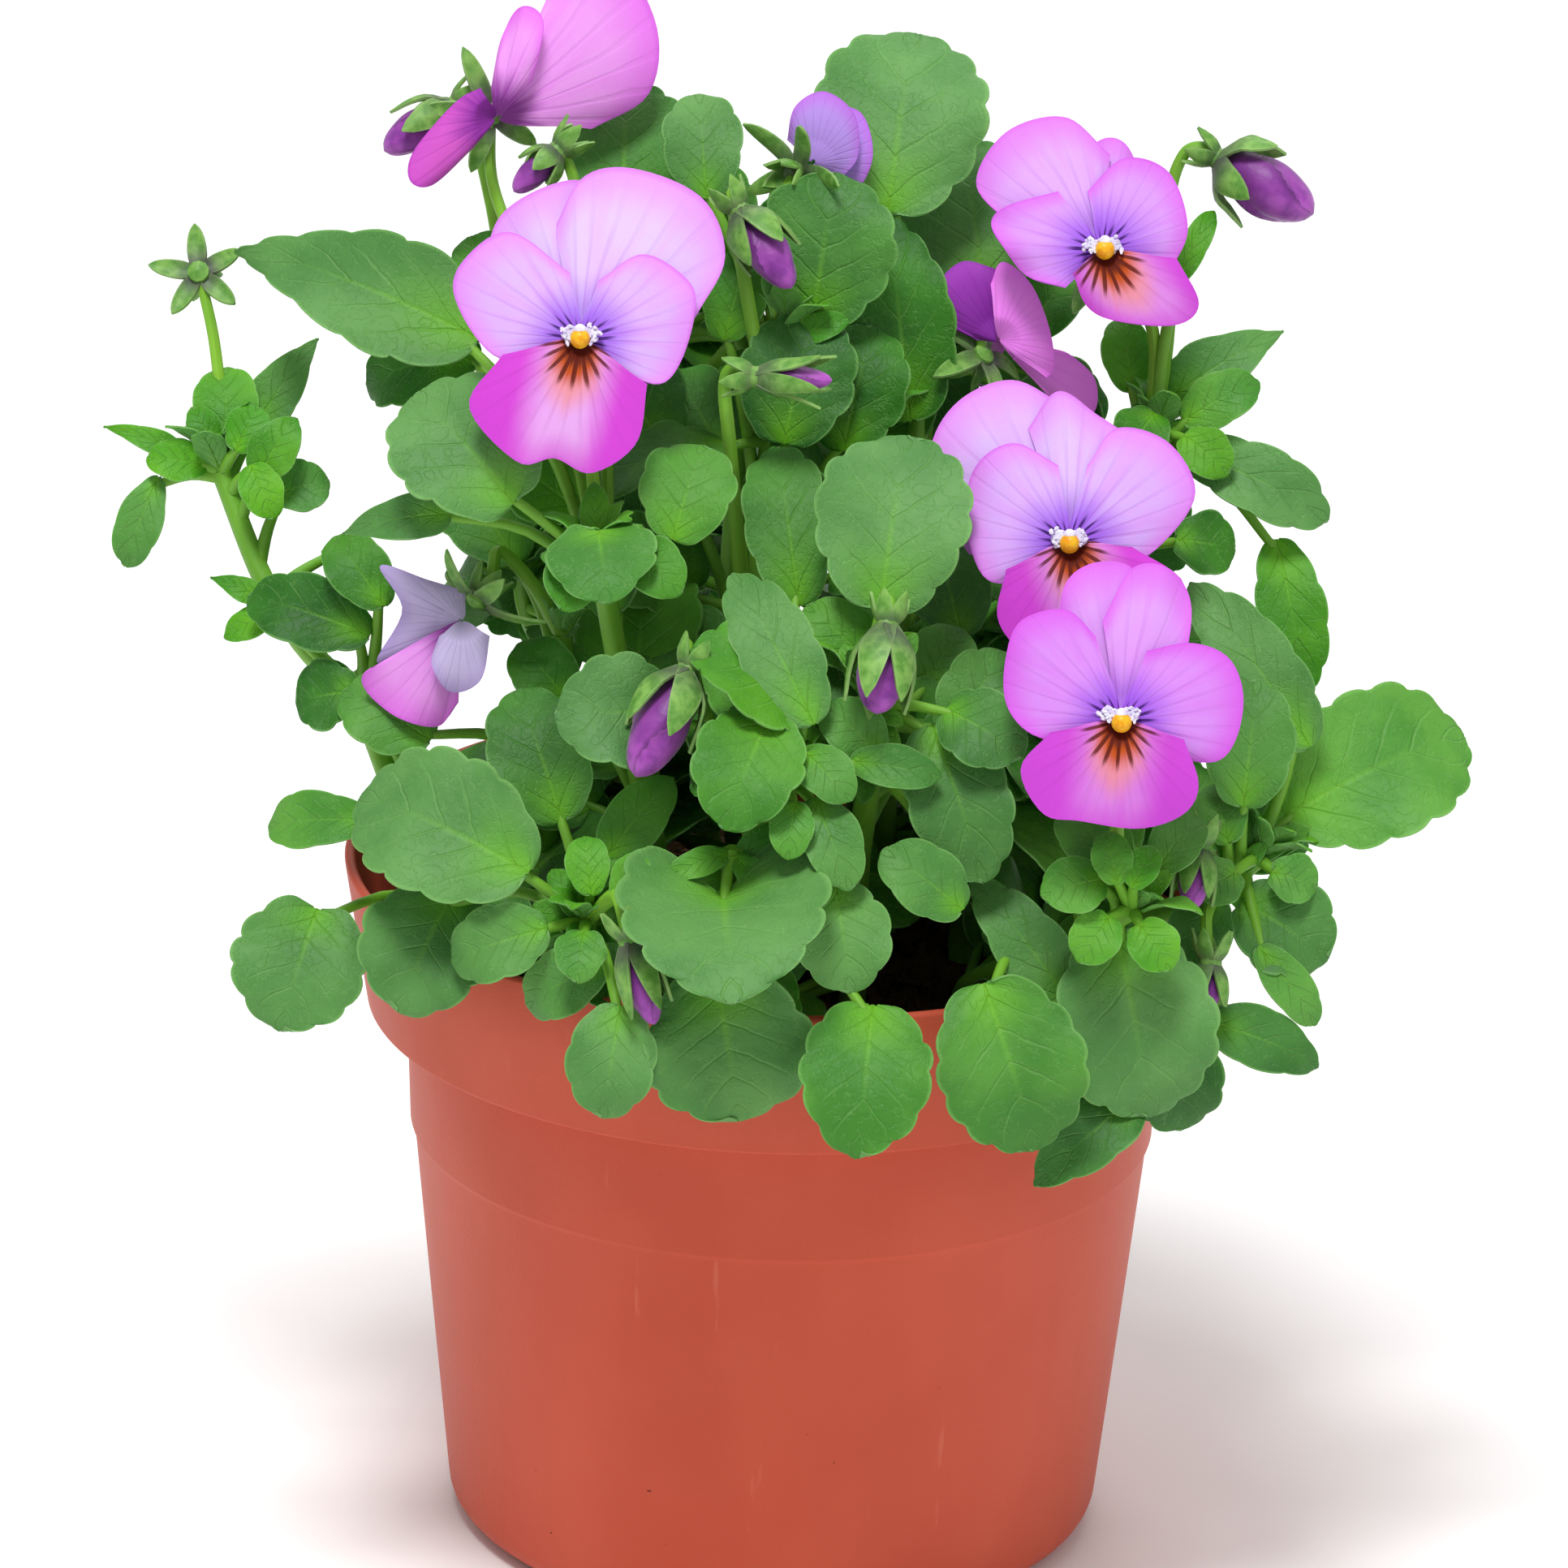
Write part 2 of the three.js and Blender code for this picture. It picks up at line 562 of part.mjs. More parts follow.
// A petal: a fan from the eye through its outer points, bulging at its sides.
function petal(bloom, layer, outline, turn, shift) {
  const [eyeRight, eyeUp, eyeNear] = bloom.eye;
  const outer = curveOf(outline.map(([right, up]) => new THREE.Vector3(right, up, 0)));
  const middle = outer.getPoint(0.5);
  const place = (reach, share) => {
    const rim = outer.getPoint(share);
    const atRim = reach === 1;
    const spread = atRim ? 1 : FOOT_SPREAD;
    const right = (middle.x + (rim.x - middle.x) * spread - eyeRight) * reach;
    const up = (middle.y + (rim.y - middle.y) * spread - eyeUp) * reach;
    const away = Math.hypot(right, up);
    const near = bloom.lean[0] * right + bloom.lean[1] * up - PETAL_CURL * away * away;
    const layered = LAYER * layer * Math.min(1, away / 3);
    const ripple = atRim ? PETAL_RIPPLE * Math.cos(Math.PI * PETAL_CELLS * share) : 0;
    const spot = [eyeRight + right, eyeUp + up, eyeNear + near + layered + ripple];
    return seen([spot[0] + shift[0], spot[1] + shift[1], spot[2] + shift[2]], turn);
  };
  const normal = seenDirection([-bloom.lean[0], -bloom.lean[1], 1], turn);
  const rows = [PETAL_FOOT, 1].map((reach) => {
    const points = [];
    for (let j = 0; j <= PETAL_CELLS; j++) points.push(place(reach, j / PETAL_CELLS));
    return { points, normal, thickness: PETAL_THICKNESS };
  });
  return sheet(rows);
}

// The way from a bloom's eye to its calyx.
function calyxWay(bloom, turn) {
  return bloom.back
    ? seenDirection(bloom.back, turn)
    : seenDirection([bloom.lean[0], bloom.lean[1] + 0.12, -1], turn);
}

function corolla(bloom, turn = 0, shift = [0, 0, 0]) {
  const eye = seen(bloom.eye.map((value, i) => value + shift[i]), turn);
  const hub = new THREE.SphereGeometry(HUB_RADIUS, 5, 3);
  hub.translate(eye.x, eye.y, eye.z);
  const petals = bloom.petals.map(([layer, outline]) => petal(bloom, layer, outline, turn, shift));
  return grown([solidOf(hub), ...petals]);
}

// A frame with its third axis along a direction.
function frameAlong(direction) {
  const turnTo = new THREE.Quaternion().setFromUnitVectors(AXIS, direction);
  return (x, y, z) => new THREE.Vector3(x, y, z).applyQuaternion(turnTo);
}

// A calyx: a five-pointed star of sepals across a direction. Open sepals lean back from the
// petals; closed ones rise round a bud of the given length and radius.
function calyx(place, direction, bud = null, open = OPEN_CALYX) {
  const local = frameAlong(direction);
  const points = 2 * SEPALS;
  const [tipRadius, tipHeight] = bud ? [bud.radius + BUD_PLAY, BUD_HOLD * bud.length] : open;
  const rim = [];
  for (let i = 0; i < points; i++) {
    const angle = (2 * Math.PI * i) / points;
    const [radius, height] = i % 2 === 0 ? [CALYX_RADIUS, 0] : [tipRadius, tipHeight];
    rim.push([radius * Math.cos(angle), radius * Math.sin(angle), height]);
  }
  const positions = [0.5, -0.5].flatMap((side) => [...local(0, 0, side * CALYX_HEIGHT).add(place)]);
  for (const corner of rim) positions.push(...local(...corner).add(place));
  const index = [];
  for (let i = 0; i < points; i++) {
    const [a, b] = [2 + i, 2 + ((i + 1) % points)];
    index.push(0, a, b, 1, b, a);
  }
  const geometry = new THREE.BufferGeometry();
  geometry.setAttribute("position", new THREE.Float32BufferAttribute(positions, 3));
  geometry.setIndex(index);
  return solidOf(geometry);
}

function budSize(calyxPlace, tip, radius) {
  return { length: tip.distanceTo(calyxPlace), radius };
}

// A bud's folded petals: a drop that starts a little clear of its calyx.
function budPetals(calyxPlace, tip, radius) {
  const direction = tip.clone().sub(calyxPlace).normalize();
  const whole = tip.distanceTo(calyxPlace);
  const flare = (BUD_HOLD * whole) / (radius + BUD_PLAY);
  const start = CALYX_HEIGHT / 2 + GAP + BUD_HOLD * radius * flare;
  const length = whole - start;
  const outline = [[0, 0], [0.32, 0], [0.75, 0.22], [1, 0.5], [0.8, 0.78], [0.3, 1], [0, 1]];
  const lathe = new THREE.LatheGeometry(
    outline.map(([r, h]) => new THREE.Vector2(r * radius, h * length)), 5);
  lathe.rotateX(Math.PI / 2);
  lathe.applyQuaternion(new THREE.Quaternion().setFromUnitVectors(AXIS, direction));
  const base = calyxPlace.clone().addScaledVector(direction, start);
  lathe.translate(base.x, base.y, base.z);
  return solidOf(lathe);
}

// ---- Pot and soil ----

function turned(points, segments) {
  const lathe = new THREE.LatheGeometry(points.map(([r, z]) => new THREE.Vector2(r, z)), segments);
  return lathe.rotateX(Math.PI / 2);
}

function upright(radius, low, high, x, y, sides) {
  const post = new THREE.CylinderGeometry(radius, radius, high - low, sides);
  post.rotateX(Math.PI / 2);
  post.translate(x, y, (low + high) / 2);
  return solidOf(post);
}

const BAND_FOOT = POT_HEIGHT - BAND_HEIGHT;
const LEDGE_TOP = BAND_FOOT + WALL;

function pot() {
  const rounding = [0.45, 1].map((share) => {
    const angle = (share * Math.PI) / 2;
    return [
      FOOT_RADIUS - FOOT_ROUNDING * (1 - Math.sin(angle)),
      FOOT_ROUNDING * (1 - Math.cos(angle)),
    ];
  });
  const outside = [
    [0, 0],
    [FOOT_RADIUS - FOOT_ROUNDING, 0],
    ...rounding,
    [STEP_LOWER_RADIUS, STEP_HEIGHT - STEP_SLOPE],
    [STEP_UPPER_RADIUS, STEP_HEIGHT + STEP_SLOPE],
    [BODY_TOP_RADIUS, BAND_FOOT],
    [RIM_FOOT_RADIUS, BAND_FOOT],
    [RIM_RADIUS, POT_HEIGHT - 2 * LIP_BEVEL],
    [RIM_RADIUS - LIP_BEVEL, POT_HEIGHT],
    [RIM_RADIUS - WALL + LIP_BEVEL, POT_HEIGHT],
  ];
  const inside = [
    [RIM_FOOT_RADIUS - WALL, LEDGE_TOP],
    [BODY_TOP_RADIUS - WALL, LEDGE_TOP],
    [STEP_LOWER_RADIUS - WALL, STEP_HEIGHT - STEP_SLOPE],
    [FOOT_RADIUS - WALL, FOOT_ROUNDING + 1],
    [FOOT_RADIUS - WALL - CORNER, FLOOR],
    [0, FLOOR],
  ];
  const shell = solidOf(turned([...outside, ...inside], POT_SIDES));
  const holes = [];
  for (let i = 0; i < DRAIN_HOLES; i++) {
    const angle = (2 * Math.PI * (i + 0.5)) / DRAIN_HOLES;
    const x = DRAIN_CIRCLE * Math.cos(angle);
    const y = DRAIN_CIRCLE * Math.sin(angle);
    holes.push(upright(DRAIN_RADIUS, -1, WALL + 2, x, y, 8));
  }
  return shell.subtract(joined(holes));
}

// The compost: a plug that fills the pot, with a lumpy top and a plain hole for each stem.
function soil(roots) {
  const ledge = LEDGE_TOP + GAP;
  const slope = (RIM_RADIUS - RIM_FOOT_RADIUS) / BAND_HEIGHT;
  const edge = RIM_FOOT_RADIUS - WALL - GAP;
  const profile = [
    [0, FLOOR + GAP],
    [FOOT_RADIUS - WALL - CORNER - GAP, FLOOR + GAP],
    [FOOT_RADIUS - WALL - GAP, FOOT_ROUNDING + 1.2],
    [STEP_LOWER_RADIUS - WALL - GAP, STEP_HEIGHT],
    [BODY_TOP_RADIUS - WALL - GAP, ledge],
    [edge, ledge],
    [edge + slope * (SOIL_TOP - LEDGE_TOP) - 0.2, SOIL_TOP - 1],
    [40, SOIL_TOP],
    [26, SOIL_TOP],
    [13, SOIL_TOP],
    [0, SOIL_TOP],
  ];
  const plug = turned(profile, 18);
  const position = plug.attributes.position;
  for (let i = 0; i < position.count; i++) {
    const [x, y, z] = [position.getX(i), position.getY(i), position.getZ(i)];
    if (z < SOIL_TOP - 0.5) continue;
    const lump = Math.sin(0.31 * x + 1) * Math.cos(0.27 * y) + 0.6 * Math.sin(0.11 * x * y + y);
    position.setZ(i, z + (SOIL_LUMP * lump) / 1.6);
  }
  const holes = roots.map(({ x, y, radius }) =>
    upright(radius + HOLE_PLAY, SOIL_TOP - HOLE_DEPTH, SOIL_TOP + 4, x, y, STEM_SIDES));
  return solidOf(plug).subtract(joined(holes));
}

// ---- The plant ----

// A bend moves a leaf nearer or farther, and tips its point nearer or farther.
const BENDS = [0, 2.5, -2.5, 5, -5, 7.5, -7.5, 10, -10].flatMap((shift) =>
  [0, 0.2, -0.2, 0.4, -0.4].map((pitch) => ({ shift, pitch })));

const taken = []; // solids that a later leaf has to stay clear of
const claim = (owner, solid) => taken.push({ owner, solid, box: solid.boundingBox() });

function apart(a, b) {
  return [0, 1, 2].some((k) => a.min[k] > b.max[k] || b.min[k] > a.max[k]);
}

function isClear(owner, solid) {
  const box = solid.boundingBox();
  return !taken.some((other) =>
    other.owner !== owner && !apart(box, other.box) &&
    solid.intersect(other.solid).volume() > 1e-6);
}

function bent([right, up, near], more) {
  return [right, up, near + more];
}

// The first bend of a leaf that is clear of the stems, leaves and blooms that it doesn't
// grow from, and if it can be of the blades beside it on its own stem. Or null.
function clearLeaf(owner, stem, row, blades) {
  const [where, base, tip, width, form = "round"] = row;
  const from = stem.curve.getPoint(where - LEAF_STAGGER * (1 + stem.leaves.indexOf(row)));
  const facing = seenDirection([0, 0.25, 1], stem.turn);
  const length = Math.hypot(...base.map((value, k) => tip[k] - value));
  let spare = null;
  for (const { shift, pitch } of BENDS) {
    const low = seen(bent(base, shift), stem.turn);
    const high = seen(bent(tip, shift + pitch * length), stem.turn);
    if (!isClear(owner, blade(low, high, width, form, facing, GAP))) continue;
    if (!isClear(owner, petiole(from, low, high, GAP))) continue;
    const found = {
      solids: [blade(low, high, width, form, facing), petiole(from, low, high)],
      wide: blade(low, high, width, form, facing, GAP / 2),
    };
    if (blades.every((other) => other.intersect(found.wide).volume() < 1e-6)) return found;
    spare ??= found;
  }
  return spare;
}

// The layout of a stem on the unseen side, in its own turned view.
function backStem([turn, crown, count, length, width], index) {
  const [right, up, near] = crown;
  const leaves = [];
  for (let i = 0; i < count; i++) {
    const angle = i * GOLDEN_ANGLE + index;
    const [x, y] = [Math.cos(angle), Math.sin(angle)];
    const size = 0.8 + 0.2 * Math.sin(2.3 * i + index);
    const gap = BACK_LEAF_GAP + 2 * (i % 3);
    const base = [right + gap * x, up + gap * y, near + 1 - 2 * y];
    const reach = gap + length * size;
    const tip = [right + reach * x, up + reach * y, near - 4 - 5 * y];
    leaves.push([1 - 0.02 * i, base, tip, width * size]);
  }
  const foot = THREE.MathUtils.degToRad(turn - 90);
  const radius = up > 30 ? BACK_ROOT_RADIUS / 2 : BACK_ROOT_RADIUS;
  const root = [radius * Math.cos(foot), radius * Math.sin(foot)];
  const path = [[right, up * 0.3 - 14, near * 0.6], [right, up - 8, near - 5], crown];
  return { root, path, turn, leaves, stalks: [] };
}

const layout = { ...STEMS };
Object.entries(BACK_CROWNS).forEach(([name, row], i) => {
  layout[name] = backStem(row, i);
});
const carries = { ...CARRIES };
const blooms = {};
for (const [name, bloom] of Object.entries(BLOOMS)) {
  blooms[name] = { bloom, turn: 0, shift: [0, 0, 0] };
}
for (const [name, [like, turn, eye, owner]] of Object.entries(BACK_BLOOMS)) {
  const bloom = BLOOMS[like];
  blooms[name] = { bloom, turn, shift: eye.map((value, i) => value - bloom.eye[i]) };
  const [right, up, near] = eye;
  layout[owner].stalks.push([0.9, [[right, up - 12, near - 10], [right, up - 2, near - 8]]]);
  layout[owner].stalkTurn = turn;
  carries[owner] = [name];
}

const greens = {};
const petals = {};

for (const [name, { bloom, turn, shift }] of Object.entries(blooms)) {
  petals[name] = corolla(bloom, turn, shift);
  claim(name, petals[name]);
}
for (const [name, [place, tip, radius]] of Object.entries(BUDS)) {
  petals[name] = budPetals(seen(place), seen(tip), radius);
  claim(name, petals[name]);
}

// Stems and stalks with their calyces come before the leaves, which bend clear of them.
for (const [name, stem] of Object.entries(layout)) {
  stem.turn ??= 0;
  const [x, y] = stem.root;
  const heights = [SOIL_TOP - HOLE_DEPTH + GAP, SOIL_TOP + 1, SOIL_TOP + 6];
  const foot = heights.map((z) => new THREE.Vector3(x, y, z));
  stem.curve = curveOf([...foot, ...stem.path.map((place) => seen(place, stem.turn))]);
  const parts = [tube(stem.curve.points, STEM_RADIUS, STEM_SIDES, 5)];
  stem.stalks.forEach(([where, places], i) => {
    const carried = (carries[name] ?? [])[i];
    const turn = stem.stalkTurn ?? stem.turn;
    const from = stem.curve.getPoint(where);
    const way = places.map((place) => seen(place, turn));
    let end;
    if (carried in blooms) {
      const { bloom, shift } = blooms[carried];
      const back = calyxWay(bloom, turn);
      const eye = seen(bloom.eye.map((value, k) => value + shift[k]), turn);
      end = eye.clone().addScaledVector(back, CALYX_BACK);
      parts.push(calyx(end, back.clone().negate()));
    } else if (carried in BUDS) {
      const [place, tip, radius] = BUDS[carried];
      end = seen(place);
      const direction = seen(tip).sub(end).normalize();
      parts.push(calyx(end, direction, budSize(end, seen(tip), radius)));
    } else {
      end = way.pop();
      parts.push(calyx(end, seenDirection([-0.1, 0.3, 1], turn), null, SPENT_CALYX));
    }
    parts.push(tube([from, ...way, end], STALK_RADIUS, THIN_SIDES, 4));
  });
  greens[name] = parts;
  for (const part of parts) claim(name, part);
}

const potSolid = pot();
const roots = Object.values(layout).map(({ root: [x, y] }) => ({ x, y, radius: STEM_RADIUS }));
const soilSolid = soil(roots);
claim("pot", potSolid);
claim("soil", soilSolid);

for (const [name, stem] of Object.entries(layout)) {
  const blades = [];
  stem.leaves.forEach((row) => {
    const found = clearLeaf(name, stem, row, blades);
    if (!found) return;
    greens[name].push(...found.solids);
    blades.push(found.wide);
    for (const solid of found.solids) claim(name, solid);
  });
}

const planter = new THREE.Group();
planter.add(meshOf("pot", potSolid, TERRACOTTA));
planter.add(meshOf("soil", soilSolid, PEAT));
for (const [name, parts] of Object.entries(greens)) {
  planter.add(meshOf(`stem_${name}`, grown(parts), LEAF_GREEN));
}
for (const [name, solid] of Object.entries(petals)) {
  planter.add(meshOf(name, solid, name.startsWith("bud") ? PURPLE_PETAL : PINK_PETAL));
}

export default planter;
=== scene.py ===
import math

import bpy
import numpy as np
from mathutils import Matrix, Vector
from mathutils.bvhtree import BVHTree


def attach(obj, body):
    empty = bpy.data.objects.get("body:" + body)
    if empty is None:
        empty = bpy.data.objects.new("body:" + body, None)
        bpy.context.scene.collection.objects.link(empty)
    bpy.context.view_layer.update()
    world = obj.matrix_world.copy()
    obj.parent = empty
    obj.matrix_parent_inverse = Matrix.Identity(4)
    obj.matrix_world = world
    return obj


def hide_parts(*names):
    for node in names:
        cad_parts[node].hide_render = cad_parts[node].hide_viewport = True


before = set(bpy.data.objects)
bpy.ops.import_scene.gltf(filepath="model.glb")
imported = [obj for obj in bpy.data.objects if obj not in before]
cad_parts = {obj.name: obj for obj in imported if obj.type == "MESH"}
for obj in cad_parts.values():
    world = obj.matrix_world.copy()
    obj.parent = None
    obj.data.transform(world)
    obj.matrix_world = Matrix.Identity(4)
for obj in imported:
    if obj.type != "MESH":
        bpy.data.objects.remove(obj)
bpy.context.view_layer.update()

# A pansy plant in its 12 cm nursery pot. Shapes are made in millimetres, in the frame of the
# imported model, and turned into metres as each piece is finished.
MM = 0.001

# ---- Driving sizes, in mm ----
POT_HEIGHT = 95
RIM_RADIUS = 60
RIM_FOOT_RADIUS = 56.8
BAND_FOOT = 74.3
BODY_TOP_RADIUS = 51.4
STEP_HEIGHT = 56.4
STEP_UPPER_RADIUS = 50.7
STEP_LOWER_RADIUS = 50.1
FOOT_RADIUS = 44.8
FOOT_ROUNDING = 4.5
WALL = 1.6
FLOOR_TOP = 2.0
DRAIN_HOLES = 8
DRAIN_RADIUS = 4
DRAIN_CIRCLE = 30
POT_SIDES = 160

SOIL_TOP = 81
SOIL_EDGE = 56
HOLE_DEPTH = 6.5
CAD_GAP = 0.35
CRUMBS = 900
FIBRES = 110

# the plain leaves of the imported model. One is found where enough of its points lie this near
CAD_LEAF_THICKNESS = 0.9
CAD_TEETH = (0.88, 1.05)
CAD_BLUNT_TIP = 0.2
CAD_MATCH = 0.04
CAD_MATCH_SHARE = 0.6
# where a blade is broadest, as a share of its length, and how pointed its ends are
FORMS = {"round": (0.5, 0.5), "egg": (0.42, 0.65), "spoon": (0.62, 0.6), "lance": (0.32, 0.85)}
# the looks' own: a longer spoon, a sharper lance and a heart
LOOKS = {**FORMS, "spoon": (0.57, 0.5), "lance": (0.28, 1.05), "heart": (0.47, 0.5)}
LEAF_FOLD = 0.16
LEAF_STAGGER = 0.006
LEAF_ARCH = 0.1
LARGE_LEAF = 20  # long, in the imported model
BROAD_LEAF = 9  # wide: such leaves get the fine grid
FINE_GRID, COARSE_GRID = (61, 15), (31, 9)
TOOTH_PITCH = 3.2
LEAF_WAVE = 0.04
LEAF_PUCKER = 0.014
LEAF_DROOP = 0.4
LOBE, HEART_LOBE = 0.05, 0.11  # where the lobes beside a leaf's base reach farthest back
HEART_LOBES = 0.26  # how far they reach, as a share of the width
HEART_SHIFT = 0.16  # how far a heart's base moves towards its tip, as a share of its length
LEAF_THICKNESS = 0.5
SEPAL_THICKNESS = 0.4
PETAL_THICKNESS = 0.45
PETAL_ROWS, PETAL_COLUMNS = 26, 35
LAYER = 1.6
CALYX_BACK = 3.9
TUFT_HAIRS = 54
SHOOTS = 7
BACK_ROOT_RADIUS = 30
BACK_LEAF_GAP = 6
GOLDEN_ANGLE = math.radians(137.5)

# first and last radii
STEM_RADII = (1.95, 1.35)
STALK_RADII = (0.9, 0.72)
PETIOLE_RADII = (1.0, 0.62)
MIDRIB_RADII = (0.55, 0.12)

# leaves inside the plant
INNER_LEAVES = 11  # on each stem
INNER_REACH = 64  # the farthest from the pot's axis that one may reach
RIM_KEEP = (20, POT_HEIGHT + 4, 50)  # none is behind, below and outside this at once
BLOOM_KEEP = 2.5  # how far one keeps from the petals
NEAREST_VEIL = 8  # a gap between nearer pieces isn't closed

SOIL_SEED, STEM_SEED, BLOOM_SEED, BUD_SEED = 11, 100, 300, 500

# Places on the plant are given as [right, up, near] as they are seen from the front:
# right and up on the plane through the pot's axis, and near towards the viewer.
VIEW_DISTANCE = 1300
VIEW_ELEVATION = math.radians(20.4)
VIEW_ROLL = math.radians(1.5)
VIEW_TARGET = np.array([-0.8, 0, 105])
VIEW_WIDTH = 211.8  # of the picture, at the target
SENSOR = 36

SIN_E, COS_E = math.sin(VIEW_ELEVATION), math.cos(VIEW_ELEVATION)
SIN_R, COS_R = math.sin(VIEW_ROLL), math.cos(VIEW_ROLL)
RIGHT = np.array([COS_R, SIN_R * SIN_E, SIN_R * COS_E])
UP = np.array([-SIN_R, COS_R * SIN_E, COS_R * COS_E])
NEAR = np.array([0, -COS_E, SIN_E])
AXIS = np.array([0, 0, 1.0])

